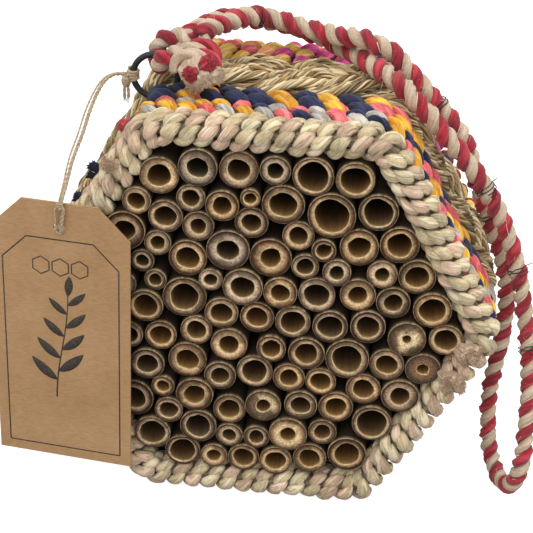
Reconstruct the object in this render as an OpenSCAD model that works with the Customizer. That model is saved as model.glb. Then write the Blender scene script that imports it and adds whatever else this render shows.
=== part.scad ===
// Hexagonal insect hotel: a drum of plaited cloth and grass bands sewn over a wire frame,
// closed at the back by a coiled plait and filled with bamboo canes for solitary bees.
// Millimetres. +Z up, canes open towards -Y, origin under the middle of the drum.

/* [Drum] */
// Distance across the flats of the front rim
across_flats = 150; // [146:1:170]
// Outer radius of the six rounded corners
corner_r = 14; // [12.5:0.5:18]
// Front-to-back width of the cream front rim
rim_w = 14; // [12:0.5:20]
// Thickness of the front rim, towards the middle
rim_wall = 10.5; // [9:0.5:11]
// How far the bands behind the rim lie inside its outer face
band_inset = 0.5; // [0:0.1:1]
// Thickness of the bands behind the rim
band_wall = 7; // [5:0.5:7]
// Front-to-back width of the narrow cloth band
narrow_band_w = 10; // [7:0.5:14]
// Front-to-back width of the golden cloth band
golden_band_w = 15; // [10:0.5:20]
// Front-to-back width of the grass band
grass_band_w = 33; // [20:1:45]
// Front-to-back width of the last cloth band
back_band_w = 20; // [16:0.5:28]
// Gap between two bands that are sewn together
seam_gap = 0.3; // [0.1:0.05:0.6]
// Depth of the flat that the drum stands on
foot_flat = 0.5; // [0.3:0.1:1]

/* [Woven back] */
// Thickness of the coiled plait that closes the back
base_t = 9; // [6:0.5:11]
// Width of one turn of that plait
base_plait_w = 14; // [10:0.5:15]
// How far the plait lies inside the back edge
base_recess = 0.5; // [0:0.1:2]

/* [Wire frame] */
// Diameter of the frame wire
wire_d = 3; // [2:0.1:3]
// Clearance between the frame wire and what it carries
wire_clear = 0.3; // [0.1:0.05:0.4]
// Gap left for the weld between two wires
weld_gap = 0.2; // [0.05:0.05:0.4]
// Distance of the front hoop from the back face of the rim
hoop_offset = 0.5; // [0.2:0.1:3]

/* [Handle] */
// Outer diameter of the black ring
ring_d = 18; // [16:0.5:22]
// Diameter of the ring's wire
ring_wire_d = 2.2; // [1.8:0.1:2.6]
// Clearance of the ring in the seam between two bands
ring_clear = 0.4; // [0.2:0.05:0.6]
// Diameter of the two-ply handle rope
rope_d = 7; // [6:0.1:7]
// Diameter of the knot that ties the rope to the ring
rope_knot_d = 18; // [15:0.5:20]
// Diameter of the bundle of cut ends at the knot
rope_tail_d = 14; // [10:0.5:15]
// Length of that bundle beyond the middle of the knot
rope_tail_l = 15; // [10:0.5:18]

/* [Canes] */
// Least gap between two canes
cane_gap = 0.25; // [0.2:0.05:0.8]
// Clearance between the canes and the rim
cane_clear = 0.3; // [0.1:0.05:0.6]
// Depth of the nearest cane mouths behind the front of the rim
cane_recess = 1; // [0.5:0.5:6]
// Greatest difference between the cane mouths, front to back
cane_stagger = 1.5; // [0:0.5:8]
// Gap between the canes and the woven back
cane_back_gap = 0.3; // [0.1:0.05:0.6]

/* [Swing tag] */
// Width of the card
tag_w = 50; // [40:1:60]
// Height of the card
tag_h = 103; // [80:1:110]
// Thickness of the card
tag_t = 0.8; // [0.4:0.1:1.2]
// Size of the two cut-off top corners
tag_corner = 11.5; // [6:0.5:16]
// Diameter of the hole for the twine
tag_hole_d = 4; // [3.5:0.1:6]
// Distance of the hole from the top edge
tag_hole_drop = 9.5; // [6:0.5:14]
// Distance of the card's middle from the middle of the drum, to the left
tag_left = 68.5; // [62:0.5:72]
// Distance of the card's top edge below the top of the rim
tag_drop = 32.5; // [28:0.5:38]
// Turn of the card away from the face, in degrees
tag_turn = 7; // [0:1:12]
// Gap between the card and the rim
tag_clear = 1; // [0.5:0.1:3]
// Width of the doubled twine
twine_d = 2.2; // [1.6:0.1:2.6]
// Diameter of the knot that ties the twine to the ring
twine_knot_d = 5; // [4:0.1:6]
// Clearance between the twine and the ring or the card
twine_clear = 0.3; // [0.2:0.05:0.5]

/* [Hidden] */
$fn = 64;

// Fullness of a band's corners beyond its straights, and how far the straights run into them
corner_lap = 0.1;
straight_lap = 0.5;

// Front-to-back places of the bands
depth = rim_w + narrow_band_w + golden_band_w + grass_band_w + back_band_w;
front_y = -depth / 2;
back_y = depth / 2;
rim_back_y = front_y + rim_w;
golden_front_y = rim_back_y + narrow_band_w;
grass_front_y = golden_front_y + golden_band_w;
back_band_front_y = grass_front_y + grass_band_w;
base_back_y = back_y - base_recess;
base_front_y = base_back_y - base_t;

// Distances of the faces from the drum's axis
rim_apothem = across_flats / 2;
band_apothem = rim_apothem - band_inset;
band_inner = band_apothem - band_wall;
axis_z = rim_apothem - foot_flat;
wire_apothem = band_inner - wire_clear - wire_d / 2;
corner_dist = (band_apothem - corner_r) / cos(30);
wire_corner_r = corner_r - band_wall - wire_clear - wire_d / 2;
cane_room = min(rim_apothem - rim_wall, wire_apothem - wire_d / 2) - cane_clear;
cane_reach = corner_dist + wire_corner_r - wire_d / 2 - cane_clear;

// Wire hoops and the rods between them
front_hoop_y = rim_back_y + hoop_offset + wire_d / 2;
back_hoop_y = base_front_y - wire_clear - wire_d / 2;
rod_front_y = front_hoop_y + wire_d / 2 + weld_gap;
rod_back_y = back_hoop_y - wire_d / 2 - weld_gap;

// Handle ring: it stands in the seam behind the golden band, welded to the top left corner rod
ring_r = (ring_d - ring_wire_d) / 2;
ring_corner = 120;
ring_corner_x = corner_dist * cos(ring_corner);
ring_corner_z = axis_z + corner_dist * sin(ring_corner);
ring_dist = wire_corner_r + wire_d / 2 + weld_gap + ring_wire_d / 2 + ring_r;
ring_x = ring_corner_x + ring_dist * cos(ring_corner);
ring_y = grass_front_y;
ring_z = ring_corner_z + ring_dist * sin(ring_corner);

// Knot of the handle rope on top of the drum, and its eye through the ring
knot_clear = 0.3;
knot_right = 13.9;
knot_front = 5;
knot_x = ring_x + knot_right;
knot_y = ring_y - knot_front;
knot_z = axis_z + band_apothem + rope_knot_d / 2 + knot_clear;
tail_right = 2.4;
tail_z = axis_z + band_apothem + rope_tail_d / 2 + knot_clear;
eye_turn = 75;
eye_hole_r = ring_wire_d / 2 + ring_clear;

// Route of the handle rope: one strand over the corner, down to the fold and back to the knot
rope_route = [
    [-34, -5, 160], [-33, 3, 160.5], [-29.5, 12, 161], [-26, 22, 160.5], [-22, 30, 159.5],
    [-15.5, 36.5, 157.5], [-8, 39.5, 156.4], [0.5, 38.5, 155.6], [7.5, 35, 154.9], [14, 31, 154.1],
    [21, 24.5, 153.2], [26, 19, 152.8], [30.5, 11, 153], [34.5, 4.5, 153.2], [39, -2, 152.8],
    [44, -6.5, 150.6], [49, -9.5, 146.6], [56, -10.5, 139.8], [70.5, -10.5, 123.5], [80, -10.5, 110],
    [88.5, -12, 92.5], [95, -16.5, 69.5], [98.5, -24.5, 49], [98.5, -36, 30], [98, -38, 18],
    [96, -34, 8], [93, -24, 3.8], [89.5, -14, 8], [87.5, -10, 18], [87, -5, 33],
    [89.5, 0.5, 50], [89.5, 2.5, 66], [87.3, 2.5, 79], [81, 2, 95.5], [73.5, 1.5, 113],
    [70.5, 1.5, 122], [66, 5, 130.5], [58.5, 9, 138.1], [51, 10, 145.5], [44, 10, 152.4],
    [39.7, 10, 156.7], [35, 10.2, 159.7], [30, 11.6, 160.9], [25, 14.8, 160.5], [19.7, 19, 159.2],
    [14.2, 23, 158.8], [7, 26, 159], [-0.5, 28, 160], [-7, 28, 161.3], [-13.5, 24.5, 162.6],
    [-18.5, 17, 163], [-23, 9, 163.5], [-26.3, 1, 164], [-27.5, -5, 163.8]
];
rope_sides = 10;

// Knot of the twine on the left of the ring, and the card that hangs in front of the rim
twine_knot_x = ring_x - ring_r;
twine_start = [twine_knot_x - twine_knot_d / 2 - twine_clear, ring_y, ring_z];
tag_x = -tag_left;
tag_top_z = axis_z + rim_apothem - tag_drop;
tag_y = front_y - tag_clear - tag_t / 2 - abs(tag_w / 2 * sin(tag_turn)) * 0.5;
hole_z = tag_top_z - tag_hole_drop;
tag_front = tag_t / 2 + twine_clear + twine_d / 2;
twine_end = [tag_x, tag_y - tag_front, hole_z];

// Route of the twine: share of the way from the ring to the hole, and the bow beside that line
twine_bow = [
    [0, 0, 0, 0], [0.05, -2, 2, 2], [0.12, -3.5, 1, 5], [0.2, -4.5, -1, 6], [0.33, -4.5, -2.5, 6],
    [0.47, -3.5, -4.5, 6], [0.62, -3, -6.5, 6], [0.76, -2, -6, 5], [0.88, -1, -5.5, 5.5],
    [0.95, -0.5, -2.5, 3.5], [1, 0, 0, 0]
];
twine_sides = 8;
twine_route = [for (b = twine_bow) twine_start + b[0] * (twine_end - twine_start) + [b[1], b[2], b[3]]];

// Canes in rows from the top: place across and up from the axis, outer diameter and bore,
// drawn for this room from the axis to the wall
drawn_room = 63.9;
cane_rows = [
    [[-36, 53, 13.4, 8], [-23, 57, 13.4, 7], [-9, 57, 13.4, 7.5], [3.5, 58, 10.4, 5.5],
     [16, 57.5, 13.9, 10.5], [30, 57, 12.9, 9.5]],
    [[-44, 44, 9.9, 6], [-34, 39.5, 11.9, 7.5], [-25, 45.5, 9.9, 6], [-14, 44, 11.4, 6.5],
     [-4.5, 47.5, 6.9, 4], [6.5, 46, 14.4, 9], [23, 43, 16.4, 12], [38.5, 45.5, 13.4, 10]],
    [[-48, 32.5, 14.4, 7.5], [-23, 36, 10.9, 5.5], [-4, 38, 11.4, 6.5], [12, 34, 10.9, 6.5],
     [21, 30, 8.4, 5], [33, 31.5, 13.4, 7.5], [46.5, 33.5, 13.4, 8.5]],
    [[-51.5, 20.5, 10.9, 7], [-41, 20, 8.4, 4.5], [-36, 28.5, 9.4, 5], [-26.5, 23.5, 13.4, 8],
     [-12.5, 27.5, 14.9, 7.5], [2.5, 26, 14.4, 7], [15, 23, 9.4, 6], [25.5, 21.5, 9.9, 5],
     [42, 22.5, 10.4, 5], [53.5, 22.5, 12.9, 8]],
    [[-58, 10.5, 10.9, 7], [-47.5, 11, 8.9, 5], [-36, 13, 7.9, 4.5], [-25.5, 8, 15.4, 10],
     [-17.5, 16, 8.4, 4.5], [-6, 14, 13.9, 8], [6, 12, 11.9, 6.5], [19, 12.5, 12.9, 8.5],
     [34, 13.5, 12.4, 6.5], [46, 12, 11.9, 6.5], [59.5, 11, 13.4, 9]],
    [[-63.5, 0, 9.9, 6.5], [-52.5, 1.5, 11.4, 7], [-40, 3.5, 12.4, 8.5], [-13, 3, 11.9, 7.5],
     [-0.5, 2, 11.9, 7.5], [11.5, 1.5, 12.4, 8.5], [24.5, 2, 12.4, 8.5], [38, 2.5, 12.4, 8],
     [52, -1.5, 13.4, 3], [65.5, -1, 11.9, 8]],
    [[-57.5, -8.5, 11.9, 7.5], [-46, -9.5, 10.4, 6.5], [-34.5, -9, 11.4, 7.5], [-22, -5.5, 11.4, 7],
     [-10, -9.5, 12.9, 7], [5, -10, 10.4, 6.5], [17.5, -11.5, 12.9, 8], [32, -12, 15.4, 10.5],
     [46, -13.5, 12.4, 7.5], [58.5, -13.5, 12.4, 4]],
    [[-51.5, -20, 11.9, 7.5], [-39, -21, 12.4, 7.5], [-24.5, -18, 13.9, 8], [-12.5, -23.5, 11.4, 6.5],
     [-1, -21, 12.9, 9], [11.5, -21.5, 11.4, 6.5], [22.5, -22, 10.9, 7], [38.5, -24, 12.4, 7.5],
     [52, -25.5, 13.4, 7]],
    [[-44, -36, 14.4, 8.5], [-33.5, -29.5, 8.4, 4.5], [-21.5, -32, 13.4, 7.5], [-9, -37.5, 11.9, 7.5],
     [3, -34.5, 12.9, 5], [16.5, -32.5, 11.9, 7], [29.5, -32.5, 12.4, 7.5], [42.5, -38, 14.4, 11]],
    [[-31, -40.5, 10.4, 6.5], [-38, -51.5, 13.4, 9.5], [-20, -45.5, 13.4, 9], [-9, -49.5, 9.9, 5],
     [1, -49, 9.4, 5.5], [12.5, -45.5, 13.9, 5.5], [25, -44, 10.4, 6], [34.5, -52.5, 13.9, 9]],
    [[-26.5, -58, 12.9, 9.5], [-15, -58.5, 9.9, 5], [-3.5, -59, 11.4, 7.5], [8.5, -58, 11.9, 7.5],
     [21, -56, 12.4, 7.5]]
];
settle_steps = 70;
settle_share = 0.45;
cane_back_y = base_front_y - cane_back_gap;

// Settling: canes that touch push each other apart, and the walls push them back inside
function total(v) = [for (k = v) 1] * v;
function wall_push(p, r) = total([
    for (a = [30 : 60 : 330])
        let (over = p[0] * cos(a) + p[1] * sin(a) + r - cane_room)
            -max(over, 0) * [cos(a), sin(a)]
]);
function corner_push(p, r) =
    let (over = norm(p) + r - cane_reach)
        over > 0 ? -over * p / norm(p) : [0, 0];
function cane_push(i, c, p, r) = total(concat([[0, 0]], [
    for (j = [0 : len(c) - 1])
        let (d = p - [c[j][0], c[j][1]], far = norm(d), over = r + c[j][2] / 2 + cane_gap - far)
            if (j != i && over > 0) settle_share * over * d / far
]));
function settle(c, steps) = steps == 0 ? c : settle([
    for (i = [0 : len(c) - 1])
        let (
            p = [c[i][0], c[i][1]],
            r = c[i][2] / 2,
            m = p + cane_push(i, c, p, r) + wall_push(p, r) + corner_push(p, r)
        ) [m[0], m[1], c[i][2], c[i][3], c[i][4]]
], steps - 1);
function meets_earlier(i, c) = len([
    for (j = [0 : 1 : i - 1])
        if (norm([c[i][0] - c[j][0], c[i][1] - c[j][1]]) < (c[i][2] + c[j][2]) / 2 + cane_gap / 4) j
]) > 0;
function fits_walls(c) =
    norm([c[0], c[1]]) + c[2] / 2 < cane_reach + cane_clear / 2 &&
    max([for (a = [30 : 60 : 330]) c[0] * cos(a) + c[1] * sin(a)]) + c[2] / 2 < cane_room + cane_clear / 2;
function settled_canes() =
    let (
        fill = cane_room / drawn_room,
        seeds = [for (row = [0 : len(cane_rows) - 1]) for (c = cane_rows[row]) concat(fill * c, [row + 1])],
        c = settle(seeds, settle_steps)
    ) [for (i = [0 : len(c) - 1]) if (!meets_earlier(i, c) && fits_walls(c[i])) c[i]];
// Mouths lie unevenly, by a repeating rule that follows the cane's place
function mouth_y(c) = front_y + cane_recess + cane_stagger * (0.5 + 0.5 * sin(97 * c[0] + 61 * c[1]));

// Sweeping: rings of points square to the route, joined into one tube
function unit(v) = v / norm(v);
function heading(p, i) = unit(p[min(i + 1, len(p) - 1)] - p[max(i - 1, 0)]);
function side_of(t, s) = unit(s - (s * t) * t);
function sides_along(p, i, s) =
    i == len(p) ? [] :
    let (n = side_of(heading(p, i), s)) concat([n], sides_along(p, i + 1, n));
module tube_along(p, d, n, first_side) {
    side = sides_along(p, 0, first_side);
    points = [
        for (i = [0 : len(p) - 1])
            let (up = cross(heading(p, i), side[i]))
                for (k = [0 : n - 1]) p[i] + d / 2 * (cos(360 * k / n) * side[i] + sin(360 * k / n) * up)
    ];
    walls = [
        for (i = [0 : len(p) - 2]) for (k = [0 : n - 1])
            let (a = i * n + k, b = i * n + (k + 1) % n)
                each [[a, a + n, b], [b, a + n, b + n]]
    ];
    start_cap = [for (k = [1 : n - 2]) [0, k, k + 1]];
    end_cap = [for (k = [1 : n - 2]) let (e = (len(p) - 1) * n) [e, e + k + 1, e + k]];
    polyhedron(points, concat(walls, start_cap, end_cap));
}

// Hexagonal band: a section with round edges carried round six straights and six corners.
// The corners are a little fuller than the straights, whose ends run into them.
module band_section(wall, width) {
    r = min(wall, width) / 2;
    if (width > wall) translate([0, r]) square([wall, width - wall]);
    if (wall > width) translate([r, 0]) square([wall - width, width]);
    translate([r, r]) circle(r);
    if (wall != width) translate([wall - r, width - r]) circle(r);
}
module hex_band(apothem, wall, width, corner, gap = seam_gap) {
    w = width - gap;
    centre = (apothem - corner) / cos(30);
    for (k = [0 : 5]) {
        rotate(60 * k) translate([centre, 0]) rotate(-30) rotate_extrude(angle = 60)
            translate([corner - wall - corner_lap, gap / 2 - corner_lap])
                band_section(wall + 2 * corner_lap, w + 2 * corner_lap);
        rotate(60 * k + 30) rotate([90, 0, 0]) linear_extrude(centre + 2 * straight_lap, center = true)
            translate([apothem - wall, gap / 2]) band_section(wall, w);
    }
}
// Puts a shape that stands on its back face into the drum, with its front towards -Y
module in_drum(y) {
    translate([0, y, axis_z]) rotate([90, 0, 0]) children();
}
module above_floor() {
    below = 20;
    difference() {
        children();
        translate([-across_flats, -depth, -below]) cube([2 * across_flats, 2 * depth, below]);
    }
}
module ring_slot() {
    slot_r = ring_r + ring_wire_d / 2 + ring_clear;
    slot_w = ring_wire_d + 2 * ring_clear;
    translate([ring_x, ring_y + slot_w / 2, ring_z]) rotate([90, 0, 0]) cylinder(r = slot_r, h = slot_w);
}

module front_rim() {
    color("wheat") above_floor() in_drum(rim_back_y)
        hex_band(rim_apothem, rim_wall, rim_w, corner_r + band_inset);
}
module cloth_band(shade, back, width) {
    color(shade) above_floor() difference() {
        in_drum(back) hex_band(band_apothem, band_wall, width, corner_r);
        ring_slot();
    }
}
module narrow_cloth_band() {
    cloth_band("lightcoral", golden_front_y, narrow_band_w);
}
module golden_cloth_band() {
    cloth_band("goldenrod", grass_front_y, golden_band_w);
}
module grass_band() {
    cloth_band("tan", back_band_front_y, grass_band_w);
}
module back_cloth_band() {
    cloth_band("mediumvioletred", back_y, back_band_w);
}
// Turn n of the coil that closes the back, counted from the outside
function back_plait_outer(n) = band_inner - wire_clear - (n - 1) * (base_plait_w + seam_gap);
module back_plait(n) {
    color(n % 2 == 1 ? "tan" : "navajowhite") in_drum(base_back_y)
        hex_band(back_plait_outer(n), base_plait_w, base_t, base_plait_w + 1, 0);
}
module back_button() {
    r = back_plait_outer(5);
    color("tan") in_drum(base_back_y) cylinder(r = r / cos(30), h = base_t, $fn = 6);
}

module wire_hoop(y) {
    color("dimgray") in_drum(y + wire_d / 2) hex_band(wire_apothem + wire_d / 2, wire_d, wire_d,
        wire_corner_r + wire_d / 2, 0);
}
module front_wire_hoop() {
    wire_hoop(front_hoop_y);
}
module back_wire_hoop() {
    wire_hoop(back_hoop_y);
}
module corner_rod(k) {
    color("dimgray") in_drum(rod_back_y) rotate(60 * k) translate([corner_dist + wire_corner_r, 0])
        cylinder(d = wire_d, h = rod_back_y - rod_front_y);
}

module ring_shape(wire) {
    translate([ring_x, ring_y, ring_z]) rotate([90, 0, 0])
        rotate_extrude() translate([ring_r, 0]) circle(d = wire);
}
module handle_ring() {
    color("black") ring_shape(ring_wire_d);
}
module handle_knot() {
    eye_r = eye_hole_r + rope_d / 2;
    color("firebrick") union() {
        translate([knot_x, knot_y, knot_z]) sphere(d = rope_knot_d);
        translate([knot_x + tail_right, knot_y, tail_z]) rotate([90, 0, 0])
            cylinder(d = rope_tail_d, h = rope_tail_l);
        translate([ring_x + ring_r * cos(eye_turn), ring_y, ring_z + ring_r * sin(eye_turn)])
            rotate([0, -eye_turn, 0]) rotate_extrude() translate([eye_r, 0]) circle(d = rope_d);
    }
}
module handle_rope() {
    color("indianred") tube_along(rope_route, rope_d, rope_sides, [0, 0, 1]);
}

module twine_knot() {
    color("burlywood") difference() {
        translate([twine_knot_x, ring_y, ring_z]) sphere(d = twine_knot_d);
        ring_shape(ring_wire_d + 2 * twine_clear);
    }
}
module tag_twine() {
    color("burlywood") tube_along(twine_route, twine_d, twine_sides, [0, 0, 1]);
}
module tag() {
    w = tag_w / 2;
    color("peru") translate([tag_x, tag_y + tag_t / 2, tag_top_z]) rotate([0, 0, -tag_turn]) rotate([90, 0, 0])
        linear_extrude(tag_t) difference() {
            polygon([
                [-w, -tag_h], [w, -tag_h], [w, -tag_corner], [w - tag_corner, 0],
                [tag_corner - w, 0], [-w, -tag_corner]
            ]);
            translate([0, -tag_hole_drop]) circle(d = tag_hole_d);
        }
}

module cane(c) {
    length = cane_back_y - mouth_y(c);
    translate([c[0], 0, c[1]]) translate([0, cane_back_y, axis_z]) rotate([90, 0, 0]) difference() {
        cylinder(d = c[2], h = length);
        translate([0, 0, -1]) cylinder(d = c[3], h = length + 2);
    }
}
module cane_row(n) {
    color("tan") for (c = settled_canes()) if (c[4] == n) cane(c);
}

front_rim();
narrow_cloth_band();
golden_cloth_band();
grass_band();
back_cloth_band();
back_plait(1);  // back_plait_1
back_plait(2);  // back_plait_2
back_plait(3);  // back_plait_3
back_plait(4);  // back_plait_4
back_button();
front_wire_hoop();
back_wire_hoop();
corner_rod(0);  // corner_rod_1
corner_rod(1);  // corner_rod_2
corner_rod(2);  // corner_rod_3
corner_rod(3);  // corner_rod_4
corner_rod(4);  // corner_rod_5
corner_rod(5);  // corner_rod_6
handle_ring();
handle_knot();
handle_rope();
twine_knot();
tag_twine();
tag();
cane_row(1);  // cane_row_1
cane_row(2);  // cane_row_2
cane_row(3);  // cane_row_3
cane_row(4);  // cane_row_4
cane_row(5);  // cane_row_5
cane_row(6);  // cane_row_6
cane_row(7);  // cane_row_7
cane_row(8);  // cane_row_8
cane_row(9);  // cane_row_9
cane_row(10);  // cane_row_10
cane_row(11);  // cane_row_11
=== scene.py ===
import math
import random
from functools import partial

import bpy
import numpy as np
from mathutils import Matrix, Vector


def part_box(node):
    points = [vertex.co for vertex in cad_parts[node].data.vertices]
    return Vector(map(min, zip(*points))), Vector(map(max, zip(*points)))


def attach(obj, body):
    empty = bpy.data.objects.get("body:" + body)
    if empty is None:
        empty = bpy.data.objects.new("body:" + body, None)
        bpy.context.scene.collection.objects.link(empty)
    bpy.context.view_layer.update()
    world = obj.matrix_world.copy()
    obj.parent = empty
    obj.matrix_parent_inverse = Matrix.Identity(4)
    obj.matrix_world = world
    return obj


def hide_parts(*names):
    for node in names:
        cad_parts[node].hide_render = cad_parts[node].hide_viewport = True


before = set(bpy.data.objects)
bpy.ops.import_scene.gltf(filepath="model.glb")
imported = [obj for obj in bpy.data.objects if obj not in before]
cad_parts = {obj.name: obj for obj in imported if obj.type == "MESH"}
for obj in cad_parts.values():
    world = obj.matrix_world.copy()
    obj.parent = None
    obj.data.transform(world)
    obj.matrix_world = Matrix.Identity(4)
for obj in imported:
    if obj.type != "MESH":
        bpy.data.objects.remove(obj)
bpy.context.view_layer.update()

mm = 0.001
dice = random.Random(41)
axisZ = 74.5              # height of the drum's axis, mm
pressHeight = 1.5 * mm    # what lies lower than this is pressed by the floor


def linear(hexCode):
    # sRGB hex to linear RGBA
    raw = [int(hexCode[i:i + 2], 16) / 255 for i in (1, 3, 5)]
    return tuple(c / 12.92 if c <= 0.04045 else ((c + 0.055) / 1.055) ** 2.4 for c in raw) + (1.0,)


def addNode(tree, kind, settings=None, stops=None, **sockets):
    # one shader node with its settings, ramp stops and links; in socket names _ is a space and _6 is input 6
    # a node given as a value stands for its first output, a colour mix for its colour
    node = tree.nodes.new("ShaderNode" + kind)
    for name, value in (settings or {}).items():
        setattr(node, name, value)
    if stops:
        while len(node.color_ramp.elements) < len(stops):
            node.color_ramp.elements.new(0.5)
        for element, (place, code) in zip(node.color_ramp.elements, stops):
            element.position = place
            element.color = linear(code)
    for name, value in sockets.items():
        key = name.replace("_", " ")
        socket = node.inputs[int(key[1:])] if key[1:].isdigit() else node.inputs[key]
        if isinstance(value, bpy.types.Node):
            value = value.outputs[2 if getattr(value, "data_type", "") == "RGBA" else 0]
        if isinstance(value, bpy.types.NodeSocket):
            tree.links.new(value, socket)
        else:
            socket.default_value = value
    return node


colourMix = dict(data_type="RGBA")
colourTimes = dict(data_type="RGBA", blend_type="MULTIPLY")


def newMaterial(name):
    # bare material, the function that adds its nodes, and the place on the piece that patterns follow
    material = bpy.data.materials.new(name)
    material.use_nodes = True
    tree = material.node_tree
    tree.nodes.clear()
    add = partial(addNode, tree)
    return material, add, add("TexCoord").outputs["Object"]


def strandInputs(add):
    # UV along and round a strand, and the red, green and blue of the points' tones
    uv = add("UVMap", dict(uv_map="strand"))
    tone = add("Attribute", dict(attribute_name="tone"))
    return uv, add("SeparateColor", Color=tone).outputs


def endMaterial(material, shader):
    addNode(material.node_tree, "OutputMaterial", Surface=shader)
    return material


# camera at the photograph's place
view = dict(target=(1.59, -39, 93.96), distance=500, yaw=4.237, pitch=27.717, roll=2.706,
            focalPixels=1444.6, imagePixels=533, sensor=36)


def placeCamera():
    yaw, pitch, roll = (math.radians(view[k]) for k in ("yaw", "pitch", "roll"))
    back = Vector((math.sin(yaw) * math.cos(pitch), -math.cos(yaw) * math.cos(pitch), math.sin(pitch)))
    right = Vector((math.cos(yaw), math.sin(yaw), 0))
    up = back.cross(right)
    leanRight = math.cos(roll) * right + math.sin(roll) * up
    leanUp = math.cos(roll) * up - math.sin(roll) * right
    data = bpy.data.cameras.new("photoCamera")
    data.sensor_width = view["sensor"]
    data.lens = view["focalPixels"] / view["imagePixels"] * view["sensor"]
    camera = bpy.data.objects.new("photoCamera", data)
    bpy.context.scene.collection.objects.link(camera)
    place = Matrix((leanRight, leanUp, back)).transposed().to_4x4()
    place.translation = (Vector(view["target"]) + view["distance"] * back) * mm
    camera.matrix_world = place
    bpy.context.scene.camera = camera


# plain pale studio: paper floor that shows white, big soft lamps (place, size, watts), white surroundings
studio = dict(floorSize=6.0, floorColour="#b4b4b4", floorGlow=0.88, worldGlow=0.5, aim=(0.0, 0.0, 0.07),
              lamps=[("keyLamp", (-0.32, -0.72, 1.12), 1.1, 7.4), ("fillLamp", (0.95, -0.1, 0.75), 0.9, 3.4),
                     ("topLamp", (0.25, 0.1, 1.25), 1.2, 6.0), ("frontLamp", (0.05, -1.15, 0.52), 0.8, 2.3)])


def buildStudio():
    scene = bpy.context.scene
    scene.view_settings.view_transform = "Standard"
    world = bpy.data.worlds.new("studioWorld")
    scene.world = world
    world.use_nodes = True
    world.node_tree.nodes.clear()
    add = partial(addNode, world.node_tree)
    rays = add("LightPath").outputs
    seen = add("Math", dict(operation="MAXIMUM"), _0=rays["Is Camera Ray"], _1=rays["Is Glossy Ray"])
    seen = add("Math", dict(operation="MAXIMUM"), _0=seen, _1=rays["Is Transmission Ray"])
    soft = add("Background", Color=linear("#ffffff"), Strength=studio["worldGlow"])
    white = add("Background", Color=linear("#ffffff"), Strength=1.0)
    add("OutputWorld", Surface=add("MixShader", Fac=seen, _1=soft, _2=white))
    half = studio["floorSize"] / 2
    mesh = bpy.data.meshes.new("studioFloor")
    corners = [(-half, -half, 0), (half, -half, 0), (half, half, 0), (-half, half, 0)]
    mesh.from_pydata(corners, [], [(0, 1, 2, 3)])
    floor = bpy.data.objects.new("studioFloor", mesh)
    scene.collection.objects.link(floor)
    paint, add, _ = newMaterial("matteWhitePaper")  # seamless paper: flat white, keeps a faint shadow
    rays = add("LightPath").outputs
    glow = add("Math", dict(operation="MULTIPLY"), _0=rays["Is Camera Ray"], _1=studio["floorGlow"])
    matte = add("BsdfDiffuse", Color=linear(studio["floorColour"]))
    shine = add("Emission", Color=linear("#ffffff"), Strength=glow)
    mesh.materials.append(endMaterial(paint, add("AddShader", _0=matte, _1=shine)))
    for name, place, size, watts in studio["lamps"]:
        lamp = bpy.data.lights.new(name, "AREA")
        lamp.shape = "DISK"
        lamp.size = size
        lamp.energy = watts
        holder = bpy.data.objects.new(name, lamp)
        scene.collection.objects.link(holder)
        holder.location = place
        holder.rotation_euler = (Vector(studio["aim"]) - Vector(place)).to_track_quat("-Z", "Y").to_euler()


placeCamera()
buildStudio()
print("camera and studio are in place")


# mesh drafts: grids of points that become one mesh with slots, strand UVs and a tone per point
def newDraft():
    return dict(points=[], corners=[], counts=[], slots=[], uvs=[], tones=[], size=0)


def strandUv(along, girth):
    return np.stack(np.meshgrid(girth, along), -1)


def addGrid(draft, grid, uv, slots, tone=(0.5, 0.5, 0.5), loop=False):
    # grid is rings by sides by 3 in mm, each ring closed; uv has one more row and column than faces
    rings, sides = grid.shape[:2]
    index = draft["size"] + np.arange(rings * sides).reshape(rings, sides)
    draft["size"] += rings * sides
    draft["points"].append(grid.reshape(-1, 3) * mm)
    shade = np.asarray(tone, float)
    shade = np.broadcast_to(shade if shade.ndim == 1 else shade[:, None], (rings, sides, 3))
    draft["tones"].append(np.concatenate([shade, np.ones((rings, sides, 1))], -1).reshape(-1, 4))
    here = index if loop else index[:-1]
    there = np.roll(index, -1, 0) if loop else index[1:]
    quads = np.stack([here, np.roll(here, -1, 1), np.roll(there, -1, 1), there], -1)
    rows = len(here)
    square = np.stack([uv[:rows, :-1], uv[:rows, 1:], uv[1:rows + 1, 1:], uv[1:rows + 1, :-1]], 2)
    turn = np.cross(np.roll(grid, -1, 1)[:-1] - grid[:-1], grid[1:] - grid[:-1])
    inward = (turn * (grid - grid.mean(1, keepdims=True))[:-1]).sum() < 0
    order = [0, 3, 2, 1] if inward else [0, 1, 2, 3]
    draft["corners"].append(quads[..., order].ravel())
    draft["uvs"].append(square[:, :, order].reshape(-1, 2) * mm)
    draft["counts"].append(np.full(rows * sides, 4))
    slots = np.asarray(slots)
    slots = np.broadcast_to(slots[:, None] if slots.ndim == 1 else slots, (rows, sides))
    draft["slots"].append(slots.ravel())
    if loop:
        return
    # lids on both ends of an open strand
    for ring, line, slot, back in ((index[0], uv[0], slots[0, 0], not inward),
                                   (index[-1], uv[rows], slots[-1, 0], inward)):
        step = -1 if back else 1
        draft["corners"].append(ring[::step])
        draft["uvs"].append(line[:-1][::step] * mm)
        draft["counts"].append(np.array([sides]))
        draft["slots"].append(np.array([slot]))


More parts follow.
